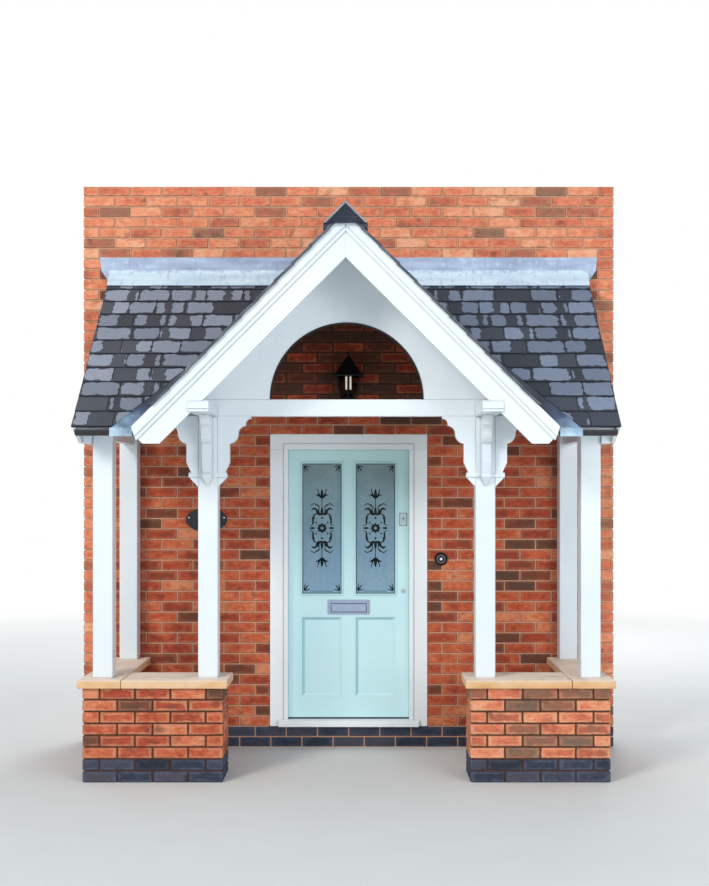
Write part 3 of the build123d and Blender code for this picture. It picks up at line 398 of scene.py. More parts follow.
def lead_finish(name):
    """Weathered sheet: greyer, with painted shade, where it stands up, and brighter, with painted light,
    where it lies to the sky.
    """
    finish = Finish(name, metallic=0.1, specular_ior_level=0.5)
    cloud = finish.noise(6, 5, stretch=(0.5, 1, 2.5))
    # Painted light and shade: a shaded copy for upright faces and a lit copy for faces that look up
    shaded_upright = finish.ramp(cloud, (0.3, (146, 158, 184)), (0.5, (166, 180, 206)), (0.72, (190, 204, 226)))
    lit_lying = finish.ramp(cloud, (0.3, (202, 224, 240)), (0.5, (218, 238, 250)), (0.72, (232, 247, 254)))
    patchy = finish.upward() + finish.noise(26, 4).range(0.35, 0.65, -0.22, 0.22)
    colour = finish.mix(patchy.range(0.1, 0.6), shaded_upright, lit_lying)
    colour = colour.tinge((132, 138, 162), finish.noise(14, 4, stretch=(3, 1, 0.35)), 0.55, 0.8, 0.5)
    dimpled = finish.bump(finish.noise(120, 3), 0.0006, 0.5, finish.bump(finish.noise(16, 4), 0.004, 0.5))
    return finish.dress(colour, cloud.range(0.3, 0.7, 0.42, 0.6), dimpled)


def valley_finish(name):
    """Valley lead with painted shade: dark between the slates, brightening towards its tail."""
    finish = Finish(name, metallic=0.1, specular_ior_level=0.5)
    height = finish.split(finish.where())[2] + finish.noise(9, 4).range(0.3, 0.7, -0.05, 0.05)
    # Painted shade: darkest up the valley between the slates, paling by height towards the tail
    colour = finish.ramp(
        height.range(2.18, 2.46), (0.0, (196, 222, 240)), (0.26, (140, 166, 192)), (0.55, (66, 82, 110)),
        (0.8, (36, 44, 62)), (1.0, (48, 54, 70)))
    colour = colour.tinge((70, 80, 104), finish.noise(20, 4, stretch=(1, 1, 0.4)), 0.5, 0.8, 0.4)
    return finish.dress(colour, 0.5, finish.bump(finish.noise(30, 4), 0.003, 0.5))


def ceiling_finish(name):
    """Dark stained boards that line the roof over the porch."""
    finish = Finish(name, specular_ior_level=0.3)
    _, along, height = finish.split(finish.where())
    within = (height + along).math("DIVIDE", BOARD_WIDTH).math("FRACT")
    board = within.range(0.0, 0.05) * within.range(1.0, 0.95)
    fibre = finish.noise(7, 6, 0.6, (1, 8, 8))
    colour = finish.ramp(fibre, (0.3, (52, 30, 20)), (0.5, (74, 44, 30)), (0.7, (96, 60, 42)))
    colour = finish.mix(board, (18, 12, 10), colour)
    return finish.dress(colour, 0.6, finish.bump(board, 0.003, 0.8, finish.bump(fibre, 0.0006, 0.5)))


def paint_finish(name, colour, shade, crease_shade, roughness=0.36, head=None):
    """Brushed gloss paint over timber, with faint grain, thin places, dust, and painted shade in its creases.

    head is (foot, top, colour): painted shade that turns the paint to that colour from foot to top, towards
    the head of the door."""
    finish = Finish(name, specular_ior_level=0.5, coat_weight=0.15, coat_roughness=0.2)
    # Painted shade: the paint darkens and greens towards the top of the door, under the porch roof
    if head:
        foot, top, shaded_head_colour = head
        colour = finish.mix(finish.split(finish.where())[2].range(foot, top), colour, shaded_head_colour)
    tinted = finish.mix(finish.noise(2.4, 4).range(0.4, 0.75, 0.0, 0.5), colour, shade)
    fibre = finish.noise(10, 5, 0.6, (14, 14, 1.4))
    tinted = tinted.tinge(shade, fibre, 0.6, 0.8, 0.25)
    tinted = tinted.tinge((176, 174, 164), finish.noise(60, 4), 0.68, 0.8, 0.18)
    # Painted shade: the paint darkens to the crease colour where occlusion is close
    openness = finish.field("AmbientOcclusion", {"Distance": CREASE_REACH}, "AO", samples=4)
    tinted = tinted.tinge(crease_shade, openness, 0.85, 0.3, 0.7)
    brushed = finish.bump(finish.noise(7, 2), 0.001, 0.25, finish.bump(fibre, 0.0006, 0.7))
    return finish.dress(tinted, fibre.range(0.3, 0.7, roughness - 0.05, roughness + 0.08), brushed)


def stone_finish(name):
    """Sawn sandstone with warm beds and grey weathering, and painted light on its pale tops."""
    finish = Finish(name, specular_ior_level=0.2)
    colour = finish.ramp(
        finish.noise(3.2, 5, stretch=(1, 1, 3)), (0.32, (216, 164, 112)), (0.45, (230, 184, 138)),
        (0.58, (236, 198, 162)), (0.72, (230, 188, 152)))
    # Painted light: faces that look up are paled
    colour = colour.tinge((255, 236, 218), finish.upward(), 0.4, 0.8, 0.85)
    colour = colour.tinge((196, 162, 104), finish.noise(11, 5), 0.55, 0.8, 0.5)
    colour = colour.tinge((158, 140, 112), finish.noise(4.5, 4), 0.58, 0.78, 0.5)
    grit = finish.noise(650, 3)
    colour = colour.tinge((172, 138, 98), grit, 0.6, 0.78, 0.4)
    pitted = finish.bump(finish.noise(90, 5, 0.7), 0.0015, 0.6, finish.bump(grit, 0.0005, 0.5))
    return finish.dress(colour, 0.9, pitted)


def metal_finish(name, colour, roughness, metallic=1.0):
    """Metal with dull worn patches and fine brushing."""
    finish = Finish(name, metallic=metallic)
    wear = finish.noise(30, 5)
    tinted = finish.mix(wear.range(0.45, 0.8, 0.0, 0.3), colour, (150, 148, 156))
    brushed = finish.bump(finish.noise(260, 2, stretch=(1, 1, 8)), 0.0002, 0.4)
    return finish.dress(tinted, wear.range(0.3, 0.7, roughness, roughness + 0.12), brushed)


def black_finish(name, colour, roughness, gloss=0.5):
    """Black enamel, plastic, rubber or polished slate with a little dust."""
    finish = Finish(name, specular_ior_level=gloss)
    cloud = finish.noise(20, 5)
    tinted = finish.mix(cloud.range(0.5, 0.8, 0.0, 0.25), colour, (70, 70, 72))
    pitted = finish.bump(finish.noise(150, 4), 0.0004, 0.6)
    return finish.dress(tinted, cloud.range(0.3, 0.7, roughness, roughness + 0.15), pitted)


def frosted_finish(name):
    """Acid-etched glass with painted shade, darker and greener at the head of the pane and bluer at its foot.
    """
    finish = Finish(name, transmission_weight=0.2, ior=1.45)
    # Painted shade by height: darker and greener towards the head of the pane
    colour = finish.ramp(
        finish.split(finish.where())[2].range(1.1, 2.05), (0.0, (156, 196, 224)), (0.4, (138, 176, 202)),
        (0.75, (132, 164, 172)), (1.0, (126, 146, 144)))
    cloud = finish.noise(7, 5)
    colour = colour.tinge((176, 204, 214), cloud, 0.4, 0.75, 0.5)
    colour = colour.tinge((118, 148, 160), finish.noise(9, 3, stretch=(4, 1, 0.5)), 0.5, 0.75, 0.3)
    colour = colour.tinge((112, 138, 148), finish.noise(46, 5, 0.7), 0.35, 0.7, 0.4)
    grainy = finish.bump(finish.noise(90, 3), 0.0006, 0.5)
    return finish.dress(colour, cloud.range(0.3, 0.7, 0.34, 0.5), grainy)


def clear_finish(name):
    """Clear glass with a slight haze of dust."""
    finish = Finish(name, transmission_weight=1.0, ior=1.05)
    colour = finish.mix(finish.noise(6, 3), (206, 208, 204), (224, 226, 222))
    return finish.dress(colour, 0.03, finish.bump(finish.noise(12, 2), 0.0004, 0.3))


def lamp_finish(name, colour):
    """White glass of a lamp, faintly lit, and mottled with a warmer tone."""
    finish = Finish(name, emission_strength=0.75, emission_color=colour)
    cloud = finish.noise(40, 3)
    return finish.dress(finish.mix(cloud, colour, (226, 214, 184)), 0.3, finish.bump(cloud, 0.0002, 0.3))


def bare_glass_finish(name):
    """The unetched ornament, painted dark for the shade of the hall that shows through it."""
    finish = Finish(name, specular_ior_level=0.25)
    # Painted shade: near-black for the dark hall behind the clear glass
    colour = finish.mix(finish.noise(14, 3), (8, 18, 20), (22, 42, 44))
    return finish.dress(colour, 0.12, finish.bump(finish.noise(30, 2), 0.0003, 0.3))


# Brick tones as lit, and their copy with painted shade for the bricks under the porch roof
LIT_BRICK = (
    (0.00, (128, 108, 90)), (0.14, (168, 108, 86)), (0.34, (204, 108, 82)), (0.58, (226, 130, 96)),
    (0.82, (238, 154, 116)), (1.00, (242, 176, 140)))
SHADED_BRICK = (
    (0.00, (84, 58, 48)), (0.16, (112, 60, 44)), (0.34, (146, 56, 38)), (0.58, (180, 74, 46)),
    (0.82, (202, 100, 64)), (1.00, (214, 134, 94)))
BLUE_BRICK = ((0.0, (38, 44, 56)), (0.4, (50, 58, 74)), (0.7, (64, 70, 86)), (1.0, (80, 76, 86)))
roof_half_width, _, roof_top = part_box("lean_to_slates_right")[1]
tie_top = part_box("tie_beam")[1].z

# The second margin tone of each brick finish is its painted-shade copy
brick = brick_finish(
    "brick_clay", LIT_BRICK, SHADED_BRICK, ((240, 174, 134), (206, 134, 100)), (96, 58, 50))
blue_brick = brick_finish("brick_blue", BLUE_BRICK, BLUE_BRICK, ((88, 96, 116), (82, 90, 110)), (40, 42, 50))
# Painted shade on the mortar under the porch roof, and deep painted shade behind the round-headed opening
pale_mortar = mortar_finish("mortar_pale", (218, 174, 144), (192, 144, 114), (
    (roof_half_width, 0.0, roof_top, (208, 158, 132)), (roof_half_width, tie_top, roof_top, (56, 32, 26))))
dark_mortar = mortar_finish("mortar_deep", (104, 72, 58), (68, 45, 37))
slate = slate_finish("slate_riven")
slate_edge = ridge_finish("slate_edge", (62, 64, 72), (92, 94, 102), (128, 130, 138))
ridge = ridge_finish("slate_ridge", (44, 48, 60), (60, 64, 76), (84, 88, 100))
ridge_end = ridge_finish("slate_ridge_end", (30, 34, 46), (42, 48, 60), (58, 64, 78))
ridge_rim = ridge_finish("slate_ridge_rim", (128, 130, 138), (150, 152, 160), (172, 174, 180))
lead = lead_finish("lead_sheet")
valley_lead = valley_finish("lead_valley")
# Each paint's third colour is the painted shade in its creases
white_paint = paint_finish("paint_white", (234, 240, 243), (216, 228, 241), (132, 142, 156))
# The door's head colour is its painted shade under the porch roof
door_paint = paint_finish(
    "paint_door", (216, 252, 255), (204, 246, 255), (96, 142, 148), 0.42, (1.2, 2.15, (194, 229, 226)))
# Painted shade for the sides of the leaf's mouldings that face right or down
door_shade = paint_finish("paint_door_shade", (172, 222, 230), (160, 210, 220), (90, 132, 140), 0.42)
frame_paint = paint_finish("paint_frame", (251, 254, 255), (240, 247, 254), (178, 188, 204))
button_white = paint_finish("button_white", (238, 242, 246), (214, 222, 230), (120, 124, 130), 0.3)
ceiling_boards = ceiling_finish("boards_dark")
stone = stone_finish("coping_sandstone")
satin = metal_finish("metal_satin", (182, 194, 214), 0.34)
plate_metal = metal_finish("metal_plate", (168, 184, 212), 0.42, 0.35)
# Painted shade for the edges of the plates, where their outline falls in shadow
shaded_metal = metal_finish("metal_edge_shade", (98, 106, 124), 0.5, 0.2)
bright_metal = metal_finish("metal_bright", (222, 224, 228), 0.25)
lock_metal = metal_finish("metal_lock", (192, 212, 216), 0.42, 0.3)
black_metal = black_finish("metal_black", (15, 14, 16), 0.45, 0.25)
bell_metal = black_finish("metal_bell", (20, 19, 24), 0.35, 0.3)
ring_metal = black_finish("metal_ring", (104, 104, 112), 0.4)
gasket = black_finish("rubber_gasket", (66, 84, 94), 0.6)
black_strip = black_finish("strip_black", (20, 18, 20), 0.55)
gutter_plastic = black_finish("plastic_black", (38, 38, 42), 0.4)
plaque_slate = black_finish("plaque_polished", (28, 28, 30), 0.2)
frosted = frosted_finish("glass_frosted")
bare_glass = bare_glass_finish("glass_bare")
lantern_pane = clear_finish("glass_lantern")
lamp_tube = lamp_finish("lamp_tube", (250, 240, 226))


class Shape:
    """Points and faces of one piece. Each face has places and two sets of three numbers for its finish."""

    def __init__(self, second=(0.0, 0.0, 0.0)):
        self.points, self.faces, self.places, self.kinds = [], [], [], []
        self.tints, self.seconds, self.second = [], [], second

    def add(self, points, faces, places=None, tint=(0.5, 0.5, 0.5), kind=0, second=None):
        first = len(self.points)
        self.points += [tuple(point) for point in points]
        for face in faces:
            self.faces.append([first + corner for corner in face])
            self.places += [places[corner] for corner in face] if places else [(0.5, 0.5)] * len(face)
            self.tints.append(tint)
            self.seconds.append(second or self.second)
        self.kinds += kind if isinstance(kind, list) else [kind] * len(faces)

    def piece(self, name, materials, slot, body="porch", stands_for=(), smooth=False):
        mesh = bpy.data.meshes.new(name)
        mesh.from_pydata(self.points, [], self.faces)
        mesh.uv_layers.new(name="place").data.foreach_set("uv", np.array(self.places, np.float32).ravel())
        for label, values in (("tint", self.tints), ("second", self.seconds)):
            mesh.attributes.new(label, "FLOAT_VECTOR", "FACE").data.foreach_set(
                "vector", np.array(values, np.float32).ravel())
        for material in materials:
            mesh.materials.append(material)
        mesh.polygons.foreach_set("material_index", self.kinds)
        if smooth:
            mesh.shade_smooth()
            mesh.set_sharp_from_angle(angle=math.radians(40))
        return placed(name, mesh, body, stands_for)


def placed(name, mesh, body, stands_for=()):
    """A mesh in the scene as a piece that rides on a body and stands for CAD nodes."""
    made = bpy.data.objects.new(name, mesh)
    bpy.context.scene.collection.objects.link(made)
    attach(made, body)
    if stands_for:
        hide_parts(*stands_for)
    return made


def eased_box_faces():
    """Corner signs and faces of a box with its edges and corners cut off.

    Each corner has three points: corner * 3 + axis is the one on the side across that axis."""
    signs = [(corner & 1, corner >> 1 & 1, corner >> 2 & 1) for corner in range(8)]
    sides, edges = [], []
    for axis in range(3):
        a, b = (axis + 1) % 3, (axis + 2) % 3
        for side in (0, 1):
            ring = [c for c in range(8) if signs[c][axis] == side]
            ring.sort(key=lambda c: (signs[c][a], signs[c][b] if signs[c][a] else -signs[c][b]))
            sides.append([c * 3 + axis for c in (ring if side else ring[::-1])])
        for low in (c for c in range(8) if signs[c][axis] == 0):
            high = low | 1 << axis
            edge = [low * 3 + a, high * 3 + a, high * 3 + b, low * 3 + b]
            edges.append(edge if signs[low][a] == signs[low][b] else edge[::-1])
    turns = [(0, 1, 2) if sum(sign) % 2 else (2, 1, 0) for sign in signs]
    tips = [[corner * 3 + k for k in turn] for corner, turn in enumerate(turns)]
    return signs, sides + edges + tips


CORNER_SIGNS, BOX_FACES = eased_box_faces()


def add_brick(shape, rng, low, high, tint, kind, ease=0.0025, rough=0.0018):
    """One brick between two corners, with worn arrises that aren't quite true."""
    points, places = [], []
    for signs in CORNER_SIGNS:
        worn = ease * rng.uniform(0.5, 1.7)
        shift = [rng.uniform(-rough, rough) for _ in range(3)]
        for axis in range(3):
            point = []
            for k in range(3):
                inset = 0 if k == axis else worn
                edge = high[k] - inset if signs[k] else low[k] + inset
                point.append(edge + (0 if k == axis else shift[k]))
            points.append(point)
            a, b = [k for k in range(3) if k != axis]
            places.append((float(signs[a]), float(signs[b])))
    shape.add(points, BOX_FACES, places, tint, kind)


def add_box(shape, low, high, kind=0):
    """A small block with eased arrises."""
    add_brick(shape, random.Random(3), low, high, (0.5, 0.5, 0.5), kind, ease=0.0006, rough=0.0)


def add_block(shape, low, high, kind):
    """A plain block with square edges, such as the mortar behind the bricks."""
    points = [[high[k] if signs[k] else low[k] for k in range(3)] for signs in CORNER_SIGNS]
    shape.add(points, [[corner // 3 for corner in face] for face in BOX_FACES[:6]], kind=kind)


def add_border(shape, low, high, width):
    """Four strips round the inside of an upright rectangle that faces the street."""
    inner_low, inner_high = (low[0] + width, low[2] + width), (high[0] - width, high[2] - width)
    for left, foot, right, top in (
            (low[0], low[2], inner_low[0], high[2]), (inner_high[0], low[2], high[0], high[2]),
            (inner_low[0], low[2], inner_high[0], inner_low[1]),
            (inner_low[0], inner_high[1], inner_high[0], high[2])):
        add_box(shape, (left, low[1], foot), (right, high[1], top))


def add_tube(shape, rings, flipped=False):
    """A closed solid through rings that all have equally many points."""
    size, last = len(rings[0]), len(rings) - 1
    faces = [list(range(size))[::-1], [last * size + k for k in range(size)]]
    for start in range(0, last * size, size):
        for k in range(size):
            a, b = start + k, start + (k + 1) % size
            faces.append([a, b, b + size, a + size])
    points = [point for ring in rings for point in ring]
    shape.add(points, [face[::-1] for face in faces] if flipped else faces)


def add_turned(shape, place, axis, profile, segments=32):
    """A turned solid round an axis through a place, from (radius, distance along the axis) pairs."""
    along = Vector(axis).normalized()
    across = along.orthogonal().normalized()
    up = along.cross(across)
    turns = [math.tau * k / segments for k in range(segments)]
    ways = [across * math.cos(turn) + up * math.sin(turn) for turn in turns]
    middles = [(Vector(place) + along * distance, radius) for radius, distance in profile]
    add_tube(shape, [[middle + way * radius for way in ways] for middle, radius in middles])


def brick_tint(rng, dark_share=0.1, painted_shade=0.0, shade_darkening=0.0):
    """Tone, chance of burnt patches, and how much painted shade the brick takes, with its tone taken down by
    further painted shade where asked.
    """
    is_dark = rng.random() < dark_share
    tone = rng.uniform(0.02, 0.2) if is_dark else min(0.95, max(0.22, rng.gauss(0.57, 0.19)))
    return max(0.0, tone - shade_darkening), rng.uniform(0.0, 1.0), painted_shade


def joints_between(start, end, phase):
    """Middles of the upright joints of a course between its two ends."""
    first, last = math.ceil((start - phase) / PITCH), math.ceil((end - phase) / PITCH)
    joints = [phase + k * PITCH for k in range(first, last)]
    return [at for at in joints if at - start > SMALLEST_CUT and end - at > SMALLEST_CUT]


def lay_row(shape, rng, axis, start, end, across, base, phase, tint_of):
    """Bricks end to end along an axis. across is the row's extent the other way."""
    joints = joints_between(start, end, phase)
    begins = [start] + [at + JOINT / 2 for at in joints]
    stops = [at - JOINT / 2 for at in joints] + [end]
    for begin, stop in zip(begins, stops):
        low, high = [0, 0, base], [0, 0, base + BRICK_HEIGHT]
        low[axis], high[axis] = begin, stop
        low[1 - axis], high[1 - axis] = across
        tint, kind = tint_of((begin + stop) / 2)
        add_brick(shape, rng, low, high, tint, kind)


def house_wall():
    """Cavity wall: an outer and an inner leaf of stretchers, closed at the ends and the doorway."""
    rng = random.Random(11)
    right_low, right_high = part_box("wall_right")
    under_top, over_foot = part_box("wall_under_door")[1].z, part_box("wall_over_door")[0].z
    half, depth, door_half = right_high.x, right_high.y, right_low.x
    arch_low, arch_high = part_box("arch_panel")
    shape = Shape(WALL_HALO)

    def tint_for(course, x, outside):
        """Tone and kind of a brick, with painted shade under the roof and the darkest painted shade behind
        the round-headed opening.
        """
        z = (course + 0.5) * COURSE
        if course < BASE_COURSES:
            return brick_tint(rng), 1
        if not outside or abs(x) > roof_half_width or z > roof_top:
            return brick_tint(rng, 0.08), 0
        # Painted shade: more dark bricks and lowered tones behind the round-headed opening
        if z > arch_low.z - COURSE and abs(x) < arch_high.x:
            return brick_tint(rng, 0.3, 1.0, 0.42), 0
        return brick_tint(rng, 0.14, 0.9), 0

    for course in range(round(right_high.z / COURSE)):
        base = course * COURSE + JOINT / 2
        shifted = course % 2 * PITCH / 2
        proud = STEP_PROUD if course >= STEP_COURSE else 0.0
        has_door = under_top - JOINT < base < over_foot - JOINT
        for start, end in [(-half, -door_half), (door_half, half)] if has_door else [(-half, half)]:
            lay_row(shape, rng, 0, start, end, (-proud, BRICK_WIDTH), base, -half + shifted,
                    lambda x: tint_for(course, x, True))
            lay_row(shape, rng, 0, start, end, (depth - BRICK_WIDTH, depth), base,
                    -half + PITCH / 2 - shifted, lambda x: tint_for(course, x, False))
            for side in (start, end - BRICK_WIDTH):
                tint, kind = tint_for(course, side, False)
                low = (side, (depth - CLOSER) / 2, base)
                high = (side + BRICK_WIDTH, (depth + CLOSER) / 2, base + BRICK_HEIGHT)
                add_brick(shape, rng, low, high, tint, kind)
    step_z, m = STEP_COURSE * COURSE, WALL_RECESS
    for low, high in (
            ((-half + m, m, 0), (-door_half - m, depth - m, over_foot)),
            ((door_half + m, m, 0), (half - m, depth - m, over_foot)),
            ((-door_half - m, m, 0), (door_half + m, depth - m, under_top - m)),
            ((-half + m, m, over_foot + m), (half - m, depth - m, step_z)),
            ((-half + m, m - STEP_PROUD, step_z), (half - m, depth - m, right_high.z - m))):
        add_block(shape, low, high, 2)
    shape.piece("house_wall_brickwork", [brick, blue_brick, pale_mortar], "brick",
                stands_for=("wall_left", "wall_right", "wall_over_door", "wall_under_door"))


def dwarf_wall(side, sign):
    """L-shaped dwarf wall: a brick-and-a-half front with a one-brick return to the house."""
    rng = random.Random(23 if sign < 0 else 29)
    low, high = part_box(f"dwarf_wall_{side}")
    inner, outer = min(abs(low.x), abs(high.x)), max(abs(low.x), abs(high.x))
    front, back, leg = low.y, low.y + DWARF_FRONT_WIDTH, outer - BRICK_LENGTH
    shape = Shape(DWARF_HALO)
    # Painted shade: the left wall takes more of the shaded brick tones than the right
    painted_shade, dirty = (0.8, 0.4) if sign < 0 else (0.2, 0.85)
    w, j, half_joint = BRICK_WIDTH, JOINT, JOINT / 2

    def tint_of(_):
        return brick_tint(rng, dark, painted_shade), int(course < BASE_COURSES)

    def row(axis, x, y, phase):
        """Bricks end to end along an axis, with x given as two distances from the centre line."""
        x = sorted((sign * x[0], sign * x[1]))
        along, across = (y, x) if axis else (x, y)
        lay_row(shape, rng, axis, *along, across, base, phase if axis else sign * phase, tint_of)

    courses = round(high.z / COURSE)
    for course in range(courses):
        base = course * COURSE + half_joint
        dark = dirty if course == courses - 1 else 0.18
        if course % 2 == 0:
            # Stretchers along the front and inner faces, headers left over for the ends
            row(0, (inner, outer), (front, front + w), inner - half_joint)
            row(0, (inner, leg - j), (back - w, back), inner - half_joint)
            row(1, (inner, inner + w), (front + w + j, back - w - j), front)
            row(1, (outer - w, outer), (front + w + j, 0), front + w + half_joint)
            row(1, (leg, leg + w), (back - w, 0), back - w - half_joint)
        else:
            row(0, (inner + w + j, outer - w - j), (front, front + w), inner + w + half_joint)
            row(0, (inner + w + j, leg - j), (back - w, back), inner + w + half_joint)
            row(1, (inner, inner + w), (front, back), front + BRICK_LENGTH + half_joint)
            row(1, (outer - w, outer), (front, 0), front + BRICK_LENGTH + half_joint)
            row(1, (leg, leg + w), (back - w, 0), back + j + half_joint)
    m = DWARF_RECESS
    for near, start, stop in ((inner + m, front + m, back - m), (leg + m, back - m, 0)):
        a, b = sorted((sign * near, sign * (outer - m)))
        add_block(shape, (a, start, 0), (b, stop, high.z - SEAT), 2)
    shape.piece(f"dwarf_wall_{side}_brickwork", [brick, blue_brick, dark_mortar], "brick",
                stands_for=(f"dwarf_wall_{side}",))


def smoothly_noisy(point, size, seed):
    """A number from -1 to 1 that varies smoothly over a length of about size."""
    return noise.noise(Vector(point) / size + Vector((seed, seed * 0.7, seed * 1.3)))


def add_slate(shape, rng, axes, left, right, head, tail, tint, second):
    """One riven slate, as a thin grid that lies from its head up under the next course to its tail."""
    origin, along, down, up = axes
    columns, rows = 6, 3
    seed = rng.uniform(0, 500)
    ragged = [rng.uniform(-SLATE_RAGGED, SLATE_RAGGED) for _ in range(columns + 1)]
    points, places = [], []
    for layer in (0, 1):
        for row in range(rows + 1):
            for column in range(columns + 1):
                at_side = column in (0, columns)
                across = left + (right - left) * column / columns
                if at_side:
                    across += smoothly_noisy((row * 0.3, column, seed), 0.5, seed) * SLATE_RAGGED
                t = head + (tail - head) * row / rows
                if row == rows:
                    t += ragged[column]
                    t -= rng.uniform(0, SLATE_CHIPPED) if at_side else 0
                lift = -(SLATE_THICKNESS + SLATE_CLEARANCE) * (tail - t) / SLATE_GAUGE
                lift += smoothly_noisy((across, t, seed), SLATE_WAVE, seed) * SLATE_UNEVEN - SLATE_UNEVEN
                lift -= layer * SLATE_THICKNESS
                points.append(origin + along * across + down * t + up * lift)
                places.append((across - left, tail - t))
    wide = columns + 1
    under = wide * (rows + 1)
    faces, kinds = [], [0] * (2 * rows * columns + 2 * columns) + [1] * (2 * rows)
    for row in range(rows):
        for a in range(row * wide, row * wide + columns):
            faces.append([a, a + 1, a + 1 + wide, a + wide])
            faces.append([under + a, under + a + wide, under + a + 1 + wide, under + a + 1])
    for a in range(columns):
        b = rows * wide + a
        faces.append([a, under + a, under + a + 1, a + 1])
        faces.append([b, b + 1, under + b + 1, under + b])
    for row in range(rows):
        a, b = row * wide, row * wide + columns
        faces.append([a, a + wide, under + a + wide, under + a])
        faces.append([b, under + b, under + b + wide, b + wide])
    if along.cross(down).dot(up) > 0:
        faces = [face[::-1] for face in faces]
    shape.add(points, faces, places, tint, kinds, second)


def course_joints(rng, end, above):
    """Joints of a course, kept clear of the joints of the course above."""
    joints, at = [], 0
    while at < end:
        width = rng.uniform(*SLATE_WIDTHS)
        for _ in range(12):
            if all(abs(at + width - other) > JOINT_LAP for other in above):
                break
            width = rng.uniform(*SLATE_WIDTHS)
        at += width
        if end - at > SMALLEST_SLATE:
            joints.append(at)
        else:
            at = end
    return joints


def dry_patches(rng, width, joints, blue):
    """Middle and half width of up to two pale patches of a slate, with its tone and its blueness."""
    edge = rng.uniform(0.004, 0.014)
    spans = [(edge, width - edge)]
    choice = rng.random()
    if choice < 0.13:
        spans = []
    elif joints and choice < 0.72:
        reach = rng.uniform(0.018, 0.058)
        spans = [(edge, joints[0] - reach), (joints[-1] + reach, width - edge)]
    elif choice > 0.86:
        cut = rng.uniform(0.3, 0.75) * width
        spans = [(edge, cut)] if rng.random() < 0.5 else [(cut, width - edge)]
    spans += [(0.0, -1.0)] * (2 - len(spans))
    first, second = [((low + high) / 2, (high - low) / 2) for low, high in spans]
    return (*first, rng.random()), (*second, blue)


def slate_slope(name, node, seed, top_corner, along, down, length, reach, cut, blue):
    """Courses of slates on a slope, cut off at the valley.

    top_corner is the end of the top edge where each course starts, reach the width along the courses."""
    rng = random.Random(seed)
    shape = Shape()
    along, down = Vector(along).normalized(), Vector(down).normalized()
    up = along.cross(down)
    up = up if up.z > 0 else -up
    count = math.ceil(length / SLATE_GAUGE)
    above = []
    for course in range(count + 1):
        tail = length - (count - 1 - course) * SLATE_GAUGE
        head, origin = max(0.0, tail - SLATE_LENGTH), Vector(top_corner)
        if course == count:
            # The short course under the eaves course
            tail = length - EAVES_INSET
            head, origin = tail - SLATE_GAUGE, origin - up * SLATE_THICKNESS
        joints = course_joints(rng, reach, above)
        for left, right in zip([0] + joints, joints + [reach]):
            inside = [at - left for at in above if left + SIDE_CLEAR < at < right - SIDE_CLEAR]
            tint, second = dry_patches(rng, right - left, inside, blue)
            add_slate(shape, rng, (origin, along, down, up), left + SLATE_GAP / 2, right - SLATE_GAP / 2,
                      head, tail, tint, second)
        above = joints
    made = shape.piece(name, [slate, slate_edge], "slate", stands_for=(node,))
    mesh = bmesh.new()
    mesh.from_mesh(made.data)
    rim = [part for part in sliced(mesh, *cut, True) if isinstance(part, bmesh.types.BMEdge)]
    bmesh.ops.holes_fill(mesh, edges=rim, sides=0)
    mesh.to_mesh(made.data)
    mesh.free()


def sliced(mesh, point, normal, clear=False):
    """Cuts a mesh along a plane, clears what lies beyond if asked to, and gives what lies on the cut."""
    everything = mesh.verts[:] + mesh.edges[:] + mesh.faces[:]
    return bmesh.ops.bisect_plane(
        mesh, geom=everything, plane_co=point, plane_no=normal, clear_outer=clear, dist=1e-6)["geom_cut"]


def lean_to_slope(side):
    """Rise over run of the lean-to, from the slate layer's box less the layer's own thickness."""
    low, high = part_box(f"lean_to_slates_{side}")
    run, rise = high.y - low.y, high.z - low.z
    slope = rise / run
    for _ in range(8):
        slope = (rise - SLATE_BED * math.hypot(1, slope)) / run
    return slope


def gable_slates(side, sign):
    node = f"gable_slates_{side}"
    low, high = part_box(node)
    half = max(abs(low.x), abs(high.x))
    valley_cut = (Vector((0, high.y, 0)), Vector((sign, lean_to_slope(side), 0)).normalized())
    slate_slope(
        f"gable_slating_{side}", node, 41 + sign, (0, low.y, high.z), (0, 1, 0), (sign, 0, -1),
        half * math.sqrt(2), high.y - low.y, valley_cut, 0.5)


def lean_to_slates(side, sign):
    node = f"lean_to_slates_{side}"
    low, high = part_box(node)
    outer, inner = max(abs(low.x), abs(high.x)), min(abs(low.x), abs(high.x))
    slope, run = lean_to_slope(side), high.y - low.y
    valley_cut = (Vector((sign * inner, 0, 0)), Vector((-sign, -slope, 0)).normalized())
    slate_slope(
        f"lean_to_slating_{side}", node, 57 + sign, (sign * outer, 0, high.z), (-sign, 0, 0), (0, -1, -slope),
        run * math.hypot(1, slope), outer - inner, valley_cut, 1.0 if sign > 0 else 0.0)


def cad_copy(node):
    """The node's surface with its split points welded and flat areas merged, to build a finer piece from."""
    mesh = bmesh.new()
    mesh.from_mesh(frame["nodes"][node].data)
    bmesh.ops.remove_doubles(mesh, verts=mesh.verts, dist=1e-5)
    bmesh.ops.dissolve_limit(mesh, angle_limit=math.radians(0.5), verts=mesh.verts, edges=mesh.edges)
    return mesh


def finished(mesh, node, material, second=None, takes_second=None):
    """The edited surface as a piece on the node's body, with a second material on faces that take it."""
    bmesh.ops.recalc_face_normals(mesh, faces=mesh.faces)
    name = f"{node}_finished"
    made = bpy.data.meshes.new(name)
    mesh.to_mesh(made)
    mesh.free()
    made.materials.clear()
    made.materials.append(material)
    if second:
        made.materials.append(second)
        for face in made.polygons:
            face.material_index = int(takes_second(face.center, face.normal))
    return placed(name, made, body_of(frame["nodes"][node])[0], (node,))


